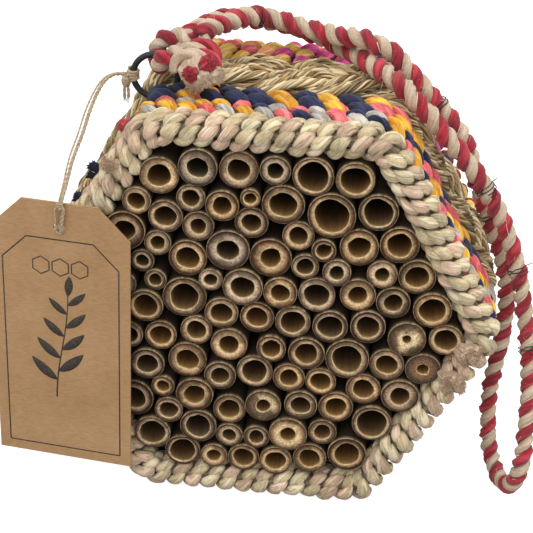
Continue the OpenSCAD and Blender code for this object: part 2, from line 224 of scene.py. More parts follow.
def finishPiece(draft, name, materials, nodes, body="hotel"):
    points, corners, counts, slots, uvs, tones = (
        np.concatenate(draft[k]) for k in ("points", "corners", "counts", "slots", "uvs", "tones"))
    low = points[:, 2] < pressHeight    # soft pieces press flat where they stand
    points[low, 2] = pressHeight * np.exp(points[low, 2] / pressHeight - 1)
    mesh = bpy.data.meshes.new(name)
    mesh.vertices.add(len(points))
    mesh.vertices.foreach_set("co", points.astype(np.float32).ravel())
    mesh.loops.add(len(corners))
    mesh.loops.foreach_set("vertex_index", corners.astype(np.int32))
    mesh.polygons.add(len(counts))
    mesh.polygons.foreach_set("loop_start", (np.cumsum(counts) - counts).astype(np.int32))
    for material in materials:
        mesh.materials.append(material)
    mesh.polygons.foreach_set("material_index", slots.astype(np.int32))
    mesh.update(calc_edges=True)
    layer = mesh.uv_layers.new(name="strand")
    layer.data.foreach_set("uv", uvs.astype(np.float32).ravel())
    shade = mesh.color_attributes.new("tone", "FLOAT_COLOR", "POINT")
    shade.data.foreach_set("color", tones.astype(np.float32).ravel())
    mesh.shade_smooth()
    piece = bpy.data.objects.new(name, mesh)
    bpy.context.scene.collection.objects.link(piece)
    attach(piece, body)
    if nodes:
        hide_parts(*nodes)
    return piece


def unit(rows):
    return rows / np.maximum(np.linalg.norm(rows, axis=-1, keepdims=True), 1e-9)


def lengths(line):
    return np.concatenate([[0], np.cumsum(np.linalg.norm(np.diff(line, axis=0), axis=1))])


def evenSteps(line, step):
    run = lengths(line)
    places = np.linspace(0, run[-1], max(int(round(run[-1] / step)), 2) + 1)
    return np.stack([np.interp(places, run, line[:, i]) for i in range(3)], 1)


def smoothPath(points, step, passes):
    # a round curve through the points in even steps, with a few softening passes
    p = np.array(points, float)
    p = np.concatenate([[2 * p[0] - p[1]], p, [2 * p[-1] - p[-2]]])
    t = np.linspace(0, 1, 24, endpoint=False)[:, None]
    parts = [0.5 * (2 * b + (c - a) * t + (2 * a - 5 * b + 4 * c - d) * t ** 2
                    + (3 * b - a - 3 * c + d) * t ** 3)
             for a, b, c, d in zip(p[:-3], p[1:-2], p[2:-1], p[3:])]
    line = evenSteps(np.concatenate(parts + [p[-2:-1]]), step)
    for _ in range(passes):
        line[1:-1] = 0.25 * line[:-2] + 0.5 * line[1:-1] + 0.25 * line[2:]
    return evenSteps(line, step)


def carriedFrame(line, first):
    # tangents of a path, and side and up vectors carried along it without twist
    tangent = unit(np.gradient(line, axis=0))
    side = np.zeros_like(line)
    last = np.array(first, float)
    for i, t in enumerate(tangent):
        last = unit(last - np.dot(last, t) * t)
        side[i] = last
    return tangent, side, np.cross(tangent, side)


def roundSteps(count):
    return 2 * math.pi * np.arange(count) / count


def turned(angle, side, up):
    # direction at an angle from side towards up
    return np.cos(angle)[..., None] * side + np.sin(angle)[..., None] * up


def squared(way, tangent):
    # a direction set square to the tangent
    return unit(way - (way * tangent).sum(1)[:, None] * tangent)


def ovalTube(line, side, up, angle, wide, thick):
    # rings about a line; half width and half thickness are one number, or one for each ring and side
    return (line[:, None] + (wide * np.cos(angle))[..., None] * side[:, None]
            + (thick * np.sin(angle))[..., None] * up[:, None])


def anyTurn():
    return dice.uniform(0, 6.28)


def ripple(angle, run, waves):
    # soft folds: a sum of waves round and along a strand
    total = np.zeros((len(run), len(angle)))
    for size, turns, rate, start in waves:
        total += size * np.sin(turns * angle[None, :] + rate * run[:, None] + start)
    return total


def foldWaves(count, size, rates, turns=(2, 3, 4, 5)):
    waves = []
    for _ in range(count):
        rate = dice.uniform(*rates)
        waves.append((size * dice.uniform(0.5, 1.0), dice.choice(turns), rate, anyTurn()))
    return waves


# materials of the soft goods
def plaitedCotton(name, dark, base, pale, sheen=0.12):
    # torn strips of cotton, twisted and plaited: dull, with lengthwise creases and a soft nap
    # creases are drawn about 2 mm apart, with painted shade along each crease; the weave itself is too fine
    # to show
    material, add, spot = newMaterial(name)
    uv, tone = strandInputs(add)
    crease = add("Mapping", Vector=uv, Rotation=(0, 0, 0.3), Scale=(1 / (2.1 * mm), 1 / (9 * mm), 1))
    creases = add("TexNoise", Vector=crease, Scale=1.0, Detail=2.0, Roughness=0.45)
    patch = add("TexNoise", Vector=spot, Scale=1 / (8 * mm), Detail=2.0)
    nap = add("TexNoise", Vector=spot, Scale=1 / (0.55 * mm), Detail=3.0)
    blend = add("Mix", Factor=0.4, _2=creases, _3=patch)
    rough = add("Mix", Factor=0.2, _2=blend, _3=nap)
    colour = add("ValToRGB", stops=[(0.38, dark), (0.5, base), (0.62, pale)], Fac=rough)
    # the tone's red sets the brightness: it varies at random, and on the cloth bands it also carries painted
    # shade at the leaf ends and on the core
    bright = add("MapRange", Value=tone[0], To_Min=0.55, To_Max=1.26)
    # painted shade: the colour darkens to two thirds along each crease line, which also bumps the surface
    off = add("Math", dict(operation="SUBTRACT"), _0=creases, _1=0.5)
    depth = add("Math", dict(operation="ABSOLUTE"), _0=off)
    line = add("MapRange", Value=depth, From_Max=0.035, To_Min=0.66, To_Max=1.0)
    gain = add("Math", dict(operation="MULTIPLY"), _0=bright, _1=line)
    shaded = add("Mix", colourTimes, Factor=1.0, _6=colour, _7=gain)
    bumpLine = add("Bump", Height=line, Strength=0.6, Distance=0.9 * mm)
    bumpWide = add("Bump", Height=creases, Strength=0.8, Distance=1.4 * mm, Normal=bumpLine)
    bumpFine = add("Bump", Height=nap, Strength=0.3, Distance=0.15 * mm, Normal=bumpWide)
    shader = add("BsdfPrincipled", Base_Color=shaded, Roughness=0.93, Sheen_Weight=sheen,
                 Sheen_Roughness=0.6, Specular_IOR_Level=0.25, Normal=bumpFine)
    return endMaterial(material, shader)


def driedGrass():
    # sun-dried grass blades: tan with grey, green and brown blades, satin skin with fine ribs
    material, add, spot = newMaterial("driedGrassBlades")
    uv, tone = strandInputs(add)
    rib = add("Mapping", Vector=uv, Scale=(1 / (0.5 * mm), 1 / (22 * mm), 1))
    ribs = add("TexNoise", Vector=rib, Scale=1.0, Detail=4.0, Roughness=0.6)
    patch = add("TexNoise", Vector=spot, Scale=1 / (12 * mm), Detail=3.0)
    mix = add("Math", dict(operation="MULTIPLY_ADD"), _0=ribs, _1=0.5, _2=tone[0])
    drift = add("Math", dict(operation="MULTIPLY_ADD"), _0=patch, _1=0.4, _2=mix)
    level = add("Math", dict(operation="SUBTRACT"), _0=drift, _1=0.43)
    colour = add("ValToRGB", Fac=level, stops=[(0.02, "#57422a"), (0.2, "#94784f"), (0.45, "#c2a577"),
                                               (0.7, "#dcc397"), (0.95, "#f0dfb6")])
    green = add("Mix", colourMix, Factor=tone[1], _6=colour, _7=linear("#8b8360"))
    bump = add("Bump", Height=ribs, Strength=0.5, Distance=0.35 * mm)
    shader = add("BsdfPrincipled", Base_Color=green, Roughness=0.6, Specular_IOR_Level=0.35, Normal=bump)
    return endMaterial(material, shader)


def spunCotton(name, dark, base, pale, yarnMm=0.9):
    # soft spun yarn laid side by side: matte, with long yarn lines and loose fibre
    material, add, spot = newMaterial(name)
    uv = strandInputs(add)[0]
    yarn = add("Mapping", Vector=uv, Rotation=(0, 0, 0.12),
               Scale=(1 / yarnMm / mm, 1 / (14 * yarnMm * mm), 1))
    lines = add("TexNoise", Vector=yarn, Scale=1.0, Detail=4.0, Roughness=0.6)
    fuzz = add("TexNoise", Vector=spot, Scale=1 / (0.7 * mm), Detail=5.0)
    patch = add("TexNoise", Vector=spot, Scale=1 / (6 * mm), Detail=2.0)
    blend = add("Mix", Factor=0.5, _2=fuzz, _3=patch)
    deep = add("Mix", Factor=0.5, _2=blend, _3=lines)
    colour = add("ValToRGB", stops=[(0.32, dark), (0.5, base), (0.66, pale)], Fac=deep)
    bumpLines = add("Bump", Height=lines, Strength=0.6, Distance=0.6 * mm)
    bumpFuzz = add("Bump", Height=fuzz, Strength=0.4, Distance=0.3 * mm, Normal=bumpLines)
    shader = add("BsdfPrincipled", Base_Color=colour, Roughness=0.95, Sheen_Weight=0.15,
                 Specular_IOR_Level=0.2, Normal=bumpFuzz)
    return endMaterial(material, shader)


def plainThread(name, code):
    # sewing thread and loose fibre: one dye, slightly uneven
    material, add, spot = newMaterial(name)
    patch = add("TexNoise", Vector=spot, Scale=1 / (1.2 * mm), Detail=3.0)
    shade = add("MapRange", Value=patch, To_Min=0.75, To_Max=1.2)
    tint = add("Mix", colourTimes, Factor=1.0, _6=linear(code), _7=shade)
    return endMaterial(material, add("BsdfPrincipled", Base_Color=tint, Roughness=0.8))


cloth = dict(
    greenCream=plaitedCotton("creamCottonStrip", "#a99570", "#d0bd97", "#e6d8b7"),
    pinkCream=plaitedCotton("rosyCottonStrip", "#aa8f76", "#d0b295", "#e4ccb2"),
    golden=plaitedCotton("goldenCottonStrip", "#b87715", "#e6a42a", "#f8c450"),
    # yellow and orange lie only on the back band and are painted lighter than the cloth: painted light that
    # makes up for the rope's shadow there
    yellow=plaitedCotton("yellowCottonStrip", "#d29a34", "#fbd068", "#ffe294"),
    coral=plaitedCotton("coralCottonStrip", "#bb4346", "#e4676a", "#f08a88"),
    navy=plaitedCotton("navyCottonStrip", "#0e1124", "#1c2142", "#2f3659"),
    grey=plaitedCotton("greyCottonStrip", "#8f887e", "#bdb6aa", "#dcd7cd"),
    orange=plaitedCotton("orangeCottonStrip", "#dc8145", "#fbad70", "#ffcb9c"),
    magenta=plaitedCotton("magentaCottonStrip", "#a52673", "#d94795", "#ea76b0"),
    red=plaitedCotton("redCottonStrip", "#7a1620", "#b02636", "#cf4a50"),
    plum=plaitedCotton("plumCottonStrip", "#2a1838", "#4a2a5c", "#6c4a7c"),
    ropeBeige=spunCotton("beigeSpunCotton", "#98806a", "#c4ae95", "#dfceb8"),
    ropeRed=plaitedCotton("redRopeCloth", "#76111e", "#ab2534", "#c6424b", sheen=0.2),
    jute=spunCotton("juteTwine", "#86715a", "#b8a183", "#d9c6a9", yarnMm=0.45),
    darkThread=plainThread("blackSewingThread", "#1c1c20"),
    paleThread=plainThread("paleSewingThread", "#d9c2ac"),
    grass=driedGrass(),
)
print("cloth, grass and cord materials are made")


# handle rope: one loop of two-ply rope, a red and a beige ply, its route in mm as the solid has it
rope = dict(
    route=[(-34, -5, 160), (-33, 3, 160.5), (-29.5, 12, 161), (-26, 22, 160.5), (-22, 30, 159.5),
           (-15.5, 36.5, 157.5), (-8, 39.5, 156.4), (0.5, 38.5, 155.6), (7.5, 35, 154.9), (14, 31, 154.1),
           (21, 24.5, 153.2), (26, 19, 152.8), (30.5, 11, 153), (34.5, 4.5, 153.2), (39, -2, 152.8),
           (44, -6.5, 150.6), (49, -9.5, 146.6), (56, -10.5, 139.8), (70.5, -10.5, 123.5), (80, -10.5, 110),
           (88.5, -12, 92.5), (95, -16.5, 69.5), (98.5, -24.5, 49), (98.5, -36, 30), (98, -38, 18),
           (96, -34, 8), (93, -24, 3.8), (89.5, -14, 8), (87.5, -10, 18), (87, -5, 33),
           (89.5, 0.5, 50), (89.5, 2.5, 66), (87.3, 2.5, 79), (81, 2, 95.5), (73.5, 1.5, 113),
           (70.5, 1.5, 122), (66, 5, 130.5), (58.5, 9, 138.1), (51, 10, 145.5), (44, 10, 152.4),
           (39.7, 10, 156.7), (35, 10.2, 159.7), (30, 11.6, 160.9), (25, 14.8, 160.5), (19.7, 19, 159.2),
           (14.2, 23, 158.8), (7, 26, 159), (-0.5, 28, 160), (-7, 28, 161.3), (-13.5, 24.5, 162.6),
           (-18.5, 17, 163), (-23, 9, 163.5), (-26.3, 1, 164), (-27.5, -5, 163.8)],
    diameter=7, lay=11.3, plyOut=1.65, plyWide=2.0, plyThick=2.05, plySwell=(1.06, 0.98), uneven=0.07,
    sides=20, step=0.7, slim=0.13, slimAt=0.55, slimReach=0.24, length=0.58)


def layAngle(run, spec):
    # turn of the lay along a cord and how slim the cord is: where it is thinner, its lay is tighter
    if "slim" not in spec:
        return 2 * math.pi * run / spec["lay"], np.ones(len(run))
    slim = 1 - spec["slim"] * np.exp(-((run / run[-1] - spec["slimAt"]) / spec["slimReach"]) ** 4)
    rate = 2 * math.pi / (spec["lay"] * slim ** 1.4)
    return np.concatenate([[0], np.cumsum((rate[1:] + rate[:-1]) / 2 * np.diff(run))]), slim


def addPly(draft, line, side, up, spec, turn, slot, waves, grow=1.0):
    # one ply of a twisted cord, laid as a helix about the line
    run = lengths(line)
    uneven = spec.get("uneven", 0.0)
    angle, slim = layAngle(run, spec)
    angle = angle + turn + uneven * (3 * np.sin(run / 9.7) + 2 * np.sin(run / 3.9 + 1))
    out = turned(angle, side, up)
    centre = line + spec["plyOut"] * slim[:, None] * out
    tangent = unit(np.gradient(centre, axis=0))
    out = squared(out, tangent)
    theta = roundSteps(spec["sides"])
    swell = 1 + uneven * (0.6 * np.sin(run / 5.9 + turn) + 0.5 * np.sin(run / 2.2 + 2 * turn))
    fold = (1 + ripple(theta, run, waves)) * (grow * swell * slim)[:, None]
    wide, thick = spec["plyWide"], spec["plyThick"]
    grid = ovalTube(centre, np.cross(tangent, out), out, theta, wide * fold, thick * fold)
    tone = np.full((len(line), 3), 0.5)
    tone[:, 0] += 0.2 * np.sin(run / 7.3 + turn) + 0.15 * np.sin(run / 2.9)
    girth = np.linspace(0, math.pi * (wide + thick), spec["sides"] + 1)
    addGrid(draft, grid, strandUv(run * 1.3, girth), slot, tone)


def addRope(draft, line, spec, first=(0, 0, 1), start=0.0):
    _, side, up = carriedFrame(line, first)
    for k, grow in enumerate(spec["plySwell"]):
        waves = foldWaves(5, 0.06, (-0.5, 0.5)) + foldWaves(4, 0.035, (-0.7, 0.7), (5, 6, 7))
        addPly(draft, line, side, up, spec, start + math.pi * k, k, waves, grow)


def addFibre(draft, line, width, slot, sides=4):
    # one loose thread along a path
    line = np.array(line, float)
    _, side, up = carriedFrame(line, (0.3, 0.5, 0.8))
    grid = ovalTube(line, side, up, roundSteps(sides), width / 2, width / 2)
    addGrid(draft, grid, strandUv(lengths(line), np.linspace(0, 3 * width, sides + 1)), slot)


def buildHandleRope():
    draft = newDraft()
    line = smoothPath(rope["route"], rope["step"], 10)
    addRope(draft, line, rope)
    piece = finishPiece(draft, "handleRope", [cloth["ropeRed"], cloth["ropeBeige"]], ["handle_rope"])
    print("rope length", round(lengths(line)[-1] * mm, 4))
    return piece, line


ropePiece, ropeLine = buildHandleRope()


# ties on the rope: dark binding thread, a pale thread in the groove and loose fibre that stands off the plies
ropeTies = dict(binds=[(-9, 27, 162), (58.5, 9, 138), (74, -10.5, 118), (79, 2, 100), (89.5, -12.5, 88),
                       (96, -19, 60)],
                bindTurns=2.2, pitch=1.3, threadMm=0.4, grooveOut=2.2, grooveMm=0.6, grooveEvery=47,
                fuzz=420, fuzzLength=(1.2, 3.6), fuzzMm=0.13, looseEnds=18, endLength=(4.0, 8.0), endMm=0.24,
                fibreOut=2.7)


def buildRopeTies():
    draft = newDraft()
    tangent, side, up = carriedFrame(ropeLine, (0, 0, 1))
    reach = rope["diameter"] / 2 + 0.1
    for spot in ropeTies["binds"]:
        middle = int(np.argmin(np.linalg.norm(ropeLine - np.array(spot), axis=1)))
        path = []
        for a in np.linspace(0, ropeTies["bindTurns"] * 2 * math.pi, 56):
            i = middle + int(round(a / (2 * math.pi) * ropeTies["pitch"] / rope["step"]))
            path.append(ropeLine[i] + reach * turned(a, side[i], up[i]))
        loose = 1.2 * side[middle] + 0.7 * up[middle] - 0.5 * tangent[middle]
        addFibre(draft, [path[0] + s * loose for s in (2.4, 1.6, 0.8)] + path, ropeTies["threadMm"], 0)
    groove = turned(layAngle(lengths(ropeLine), rope)[0] + math.pi / 2, side, up)
    for first in range(20, len(ropeLine) - 60, ropeTies["grooveEvery"]):
        some = slice(first, first + dice.randrange(16, 40))
        addFibre(draft, ropeLine[some] + ropeTies["grooveOut"] * groove[some], ropeTies["grooveMm"], 1, 6)
    for k in range(ropeTies["fuzz"] + ropeTies["looseEnds"]):
        i = dice.randrange(10, len(ropeLine) - 10)
        a = anyTurn()
        out, swing = turned(a, side[i], up[i]), turned(a + 1.3, side[i], up[i])
        kind = "fuzz" if k < ropeTies["fuzz"] else "end"
        far = dice.uniform(*ropeTies[kind + "Length"])
        lean = dice.uniform(-1, 1)
        path = [ropeLine[i] + out * (ropeTies["fibreOut"] + 0.28 * far * t * t)
                + far * t * (lean * tangent[i] + 0.5 * swing) for t in np.linspace(0, 1, 5)]
        addFibre(draft, path, ropeTies[kind + "Mm"], 1, 3)
    return finishPiece(draft, "ropeTies", [cloth["darkThread"], cloth["paleThread"]], [])


ropeTiePiece = buildRopeTies()


# knot of the rope: a bight through the ring, two wraps that face forward, a bundle and its cut ends
knot = dict(ringRadius=7.9,
            bight=[(-30.5, -13, 158.6), (-35.5, -12.2, 158.6), (-39.6, -11.2, 156.6), (-41.6, -7.2, 152.6),
                   (-43.0, -3.2, 155.4), (-42.4, -2.4, 159.2), (-39.2, -2.6, 161.6), (-34.5, -3.5, 162.0),
                   (-30.0, -5.0, 161.0)],
            wraps=2.15, wrapStart=2.5, wrapLay=26, rear=(-29.0, -3.4, 157.5), front=(-27.4, -16.8, 156.1),
            rearWide=(5.3, 4.7), frontWide=(5.7, 3.5), bundle=(-26.4, -18.0, 155.4),
            bundleWide=(6.6, 5.6, 5.6),
            # cut ends: tip, radius, ply (0 red, 1 beige)
            ends=[((-22.3, -22.6, 160.6), 2.9, 0), ((-28.3, -25.4, 156.9), 2.5, 0),
                  ((-23.2, -25.6, 155.4), 2.6, 1), ((-18.9, -22.0, 155.8), 2.8, 1),
                  ((-26.8, -24.2, 152.6), 2.9, 1)])
tuft = dict(sides=32, step=0.6, lid=(0.88, 0.72, 0.54, 0.36, 0.16), lidTones=(0.9, 0.3, 0.85, 0.25, 0.6),
            lidRough=0.45, fibreLong=(0.7, 1.7), fibreMm=0.24)
ringLow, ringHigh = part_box("handle_ring")
ringMiddle = np.array((ringLow + ringHigh) / 2) / mm


def addTuft(draft, tip, radius, slot, root, fibres=80):
    # cut end of a ply: a stub with ruffled folds, a rough lid and a brush of short fibre
    line = evenSteps(np.array([root, tip], float), tuft["step"])
    tangent, side, up = carriedFrame(line, (0, 0.2, 1))
    theta = roundSteps(tuft["sides"])
    share = np.linspace(0, 1, len(line))
    grow = radius * (0.6 + 0.45 * np.sin(share * math.pi * 0.6))
    ruffle = 1 + ripple(theta, lengths(line), foldWaves(6, 0.05, (-0.8, 0.8)))
    flare = 1 + 0.14 * share[:, None] * np.sin(8 * theta + dice.uniform(0, 6))
    body = grow[:, None] * ruffle * flare
    stub = ovalTube(line, side, up, theta, body, body)
    end, out = line[-1], tangent[-1]
    lid = []
    for k, s in enumerate(tuft["lid"]):
        rough = np.array([dice.uniform(-tuft["lidRough"], tuft["lidRough"]) for _ in theta])
        lid.append(end + s * (stub[-1] - end) + (0.3 + 0.22 * k + rough)[:, None] * out)
    grid = np.concatenate([stub, np.array(lid)])
    tone = np.full((len(grid), 3), 0.5)
    tone[-len(lid):, 0] = tuft["lidTones"]
    girth = np.linspace(0, 6 * radius, len(theta) + 1)
    addGrid(draft, grid, strandUv(lengths(grid[:, 0]), girth), slot, tone)
    for _ in range(fibres):
        a = anyTurn()
        s = math.sqrt(dice.random())
        spread = turned(a, side[-1], up[-1])
        far = dice.uniform(*tuft["fibreLong"])
        base = end + s * radius * 0.85 * spread
        drop = np.array([dice.uniform(-1, 1), dice.uniform(-1, 1), dice.uniform(-1, 0.4)])
        path = [base + t * far * (out + 0.5 * s * spread) + 0.3 * t * t * drop
                for t in np.linspace(-0.3, 1, 4)]
        addFibre(draft, path, tuft["fibreMm"], slot)


def buildHandleKnot():
    draft = newDraft()
    addRope(draft, smoothPath(knot["bight"], 0.6, 3), rope, (0, 0, 1), 0.4)
    turns = np.linspace(0, 2 * math.pi * knot["wraps"], 170)
    share = (turns / turns[-1])[:, None]
    middle = (1 - share) * np.array(knot["rear"]) + share * np.array(knot["front"])
    wide = (1 - share) * np.array(knot["rearWide"]) + share * np.array(knot["frontWide"])
    spin = turns + knot["wrapStart"]
    coil = middle + np.stack([wide[:, 0] * np.cos(spin), 0 * spin, wide[:, 1] * np.sin(spin)], 1)
    addRope(draft, evenSteps(coil, 0.7), dict(rope, lay=knot["wrapLay"]), (0, 1, 0.2), 0.2)
    # bundle of ends under the cut tips
    sides, rows = 44, 28
    theta = roundSteps(sides)
    polar = np.linspace(0.06, math.pi - 0.06, rows)
    swell = 1 + ripple(theta, polar * 6, [(0.05, 5, 0.5, 1.0), (0.04, 8, -0.8, 2.0), (0.035, 11, 0.4, 4.0)])
    swell = np.sin(polar)[:, None] * swell
    hub, reach = np.array(knot["bundle"]), knot["bundleWide"]
    forward = -reach[1] * np.cos(polar)[:, None] * np.ones(sides)
    grid = hub + np.stack([reach[0] * np.cos(theta) * swell, forward, reach[2] * np.sin(theta) * swell], -1)
    addGrid(draft, grid, strandUv(np.linspace(0, 22, rows), np.linspace(0, 40, sides + 1)), 1)
    for tip, radius, slot in knot["ends"]:
        addTuft(draft, tip, radius, slot, np.array(tip) + 0.6 * (hub - np.array(tip)))
    return finishPiece(draft, "handleKnot", [cloth["ropeRed"], cloth["ropeBeige"]], ["handle_knot"])


buildHandleKnot()
print("handle rope and knot are laid")


# twine of the tag: two jute strands, one thinner, from the ring's knot to the hole
# each point of the bow is a share of the way and a shift from the straight line, mm
twine = dict(start=(-53.58, -7, 148.77), end=(-68.5, -50.72, 107.5),
             bow=[(0, 0, 0, 0), (0.05, -2, 2, 2), (0.12, -3.5, 1, 5), (0.2, -4.5, -1, 6),
                  (0.33, -4.5, -2.5, 6), (0.47, -3.5, -4.5, 6), (0.62, -3, -6.5, 6), (0.76, -2, -6, 5),
                  (0.88, -1, -5.5, 5.5), (0.95, -0.5, -2.5, 3.5), (1, 0, 0, 0)],
             diameter=2.2, apart=0.4, bulge=0.75, loopAt=0.86, loopWide=1.0, legs=1.3, eye=1.25, lay=3.6,
             plyOut=0.33, plyWide=0.44, plyThick=0.37, thin=dict(plyOut=0.17, plyWide=0.24, plyThick=0.2),
             fuzz=90, fuzzLength=(0.8, 2.4), fuzzMm=0.09, sides=8, length=0.0695)


def addTwine(draft, line, spec, first):
    _, side, up = carriedFrame(line, first)
    for k in range(2):
        addPly(draft, line, side, up, spec, math.pi * k, 0, foldWaves(3, 0.05, (-1, 1)))


def buildTagTwine():
    draft = newDraft()
    start, end = np.array(twine["start"]), np.array(twine["end"])
    points = [start + b[0] * (end - start) + np.array(b[1:]) for b in twine["bow"]]
    line = smoothPath(points, 0.5, 14)
    tangent, side, up = carriedFrame(line, (1, 0, 0))
    share = np.linspace(0, 1, len(line))
    loopAt = twine["loopAt"]
    aside = unit(np.array([1.0, 0, 0]) - tangent[:, :1] * tangent)
    leg = np.clip((share - loopAt) / (1 - loopAt), 0, 1)
    gape = twine["legs"] * np.minimum(leg / 0.2, 1) * (1 - 0.75 * leg)
    bulge = twine["bulge"] * np.sin(np.clip(math.pi * share / loopAt, 0, math.pi)) ** 1.5
    addTwine(draft, line + (twine["apart"] + gape)[:, None] * aside, twine, (1, 0, 0))
    thin = dict(twine, **twine["thin"])
    addTwine(draft, line - (twine["apart"] + bulge + gape)[:, None] * aside, thin, (1, 0, 0))
    # turns that hold both strands together, then the eye in the card's hole
    at = int(np.argmin(np.abs(share - loopAt)))
    spin = np.linspace(0, 5 * math.pi, 60)
    loop = twine["loopWide"] * turned(spin, side[at], up[at]) + (0.13 * spin - 1)[:, None] * tangent[at]
    addTwine(draft, evenSteps(line[at] + loop, 0.3), thin, (0, 0, 1))
    spin = np.linspace(0, 2 * math.pi, 30)
    eye = end + twine["eye"] * np.stack([np.cos(spin), 0 * spin, np.sin(spin)], 1) + np.array([0, 0.6, 0])
    addTwine(draft, evenSteps(eye, 0.3), twine, (0, 1, 0))
    for _ in range(twine["fuzz"]):
        i = dice.randrange(4, len(line) - 4)
        out = turned(anyTurn(), side[i], up[i])
        far = dice.uniform(*twine["fuzzLength"])
        way = dice.choice((-1, 1)) * 0.7
        path = [line[i] + out * (0.6 + 0.35 * far * t) + far * t * way * tangent[i] for t in (0, 0.4, 1)]
        addFibre(draft, path, twine["fuzzMm"], 0, 3)
    print("twine length", round(lengths(line)[-1] * mm, 4))
    return finishPiece(draft, "tagTwine", [cloth["jute"]], ["tag_twine"], "swing_tag"), line


twinePiece, twineLine = buildTagTwine()


# hitch of the twine on the ring's left side, with two short cut tails
hitch = dict(turns=4, width=0.85, reach=1.75, plyOut=0.22, knotAt=(-2.2, -1.4, -2.2), knotWide=1.25,
             knotTurns=4, knotTall=3.2, fibres=14, fibreMm=0.1,
             tails=[((-0.6, -0.3, -2.4), (-0.5, -0.4, -6.4)), ((0.7, -0.3, -2.2), (0.9, -0.5, -5.8))])


def buildTwineHitch():
    draft = newDraft()
    spec = dict(twine, plyOut=hitch["plyOut"])
    low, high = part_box("twine_knot")
    middle = np.array((low + high) / 2) / mm
    spin = np.linspace(0, 2 * math.pi * hitch["turns"], 120)
    climb = hitch["width"] * 1.15 * (spin / (2 * math.pi) - hitch["turns"] / 2)
    # turns lie round the ring's wire, which runs up and down here
    lean = climb / knot["ringRadius"]
    out = np.stack([-np.cos(lean), 0 * lean, np.sin(lean)], 1)
    coil = ringMiddle + knot["ringRadius"] * out + hitch["reach"] * turned(spin, out, np.array([0, -1, 0]))
    addTwine(draft, evenSteps(coil, 0.4), spec, (0, 0, 1))
    heart = middle + np.array(hitch["knotAt"])
    spin = np.linspace(0, 2 * math.pi * hitch["knotTurns"], 90)
    rise = np.linspace(0.5, -0.5, 90)
    wide = hitch["knotWide"] * (1 - 1.6 * rise ** 2)
    ball = heart + np.stack([wide * np.cos(spin), wide * np.sin(spin), hitch["knotTall"] * rise], 1)
    addTwine(draft, evenSteps(ball, 0.35), spec, (0, 0, 1))
    link = [middle + (-1.4, -1.2, 0.6), heart + (0.4, -0.6, 1.8), heart]
    addTwine(draft, smoothPath(link, 0.3, 3), spec, (1, 0, 0))
    for nearEnd, farEnd in hitch["tails"]:
        tail = smoothPath([heart, heart + nearEnd, heart + farEnd], 0.4, 6)
        addTwine(draft, tail, spec, (1, 0, 0))
        tip = tail[-1]
        for _ in range(hitch["fibres"]):
            away = np.array([dice.uniform(-1, 1), dice.uniform(-1, 1), dice.uniform(-1.2, 0)])
            addFibre(draft, [tip, tip + 0.7 * away, tip + 1.5 * away + (0, 0, -0.4)], hitch["fibreMm"], 0, 3)
    loop = smoothPath([middle + (-1.9, -0.6, 0.8), middle + (-2.2, -0.3, 0.2), twineLine[0]], 0.3, 3)
    addTwine(draft, loop, spec, (0, 1, 0))
    return finishPiece(draft, "twineHitch", [cloth["jute"]], ["twine_knot"])


buildTwineHitch()
print("tag twine and its hitch are tied")


# hexagon with round corners: places and outward ways at runs along it, anticlockwise seen from the front
def hexTotal(apothem, corner):
    return 6 * (2 * (apothem - corner) * math.tan(math.radians(30)) + corner * math.pi / 3)


def hexLine(apothem, corner, run):
    side = 2 * (apothem - corner) * math.tan(math.radians(30))
    sector = side + corner * math.pi / 3
    run = np.mod(run, 6 * sector)
    number = np.floor(run / sector)
    rest = run - number * sector
    flat = np.radians(30 + 60 * number)
    onArc = rest > side
    turn = flat + np.where(onArc, (rest - side) / corner, 0)
    out = np.stack([np.cos(turn), np.sin(turn)], 1)
    tangent = np.stack([-np.sin(flat), np.cos(flat)], 1)
    face = np.stack([np.cos(flat), np.sin(flat)], 1)
    straight = apothem * face + (rest - side / 2)[:, None] * tangent
    mid = flat + math.radians(30)
    hub = (apothem - corner) / math.cos(math.radians(30)) * np.stack([np.cos(mid), np.sin(mid)], 1)
    return np.where(onArc[:, None], hub + corner * out, straight), out


# cloth bands: rows of slanting leaves that lap each other, as strips twisted and plaited together show
def bandPlace(spec, run, angle, rise):
    # point and normal on the band's oval section: angle 0 faces out, a quarter turn faces the front
    place, out = hexLine(spec["apothem"], spec["corner"], run)
    normal = unit(np.stack([np.cos(angle) / spec["deep"], np.sin(angle) / spec["wide"]], 1))
    radial = (spec["deep"] * np.cos(angle) + rise * normal[:, 0])[:, None]
    front = spec["wide"] * np.sin(angle) + rise * normal[:, 1]
    flat = place + radial * out
    spot = np.stack([flat[:, 0], spec["middleY"] - front, flat[:, 1] + axisZ], 1)
    return spot, np.stack([normal[:, 0] * out[:, 0], -normal[:, 1], normal[:, 0] * out[:, 1]], 1)


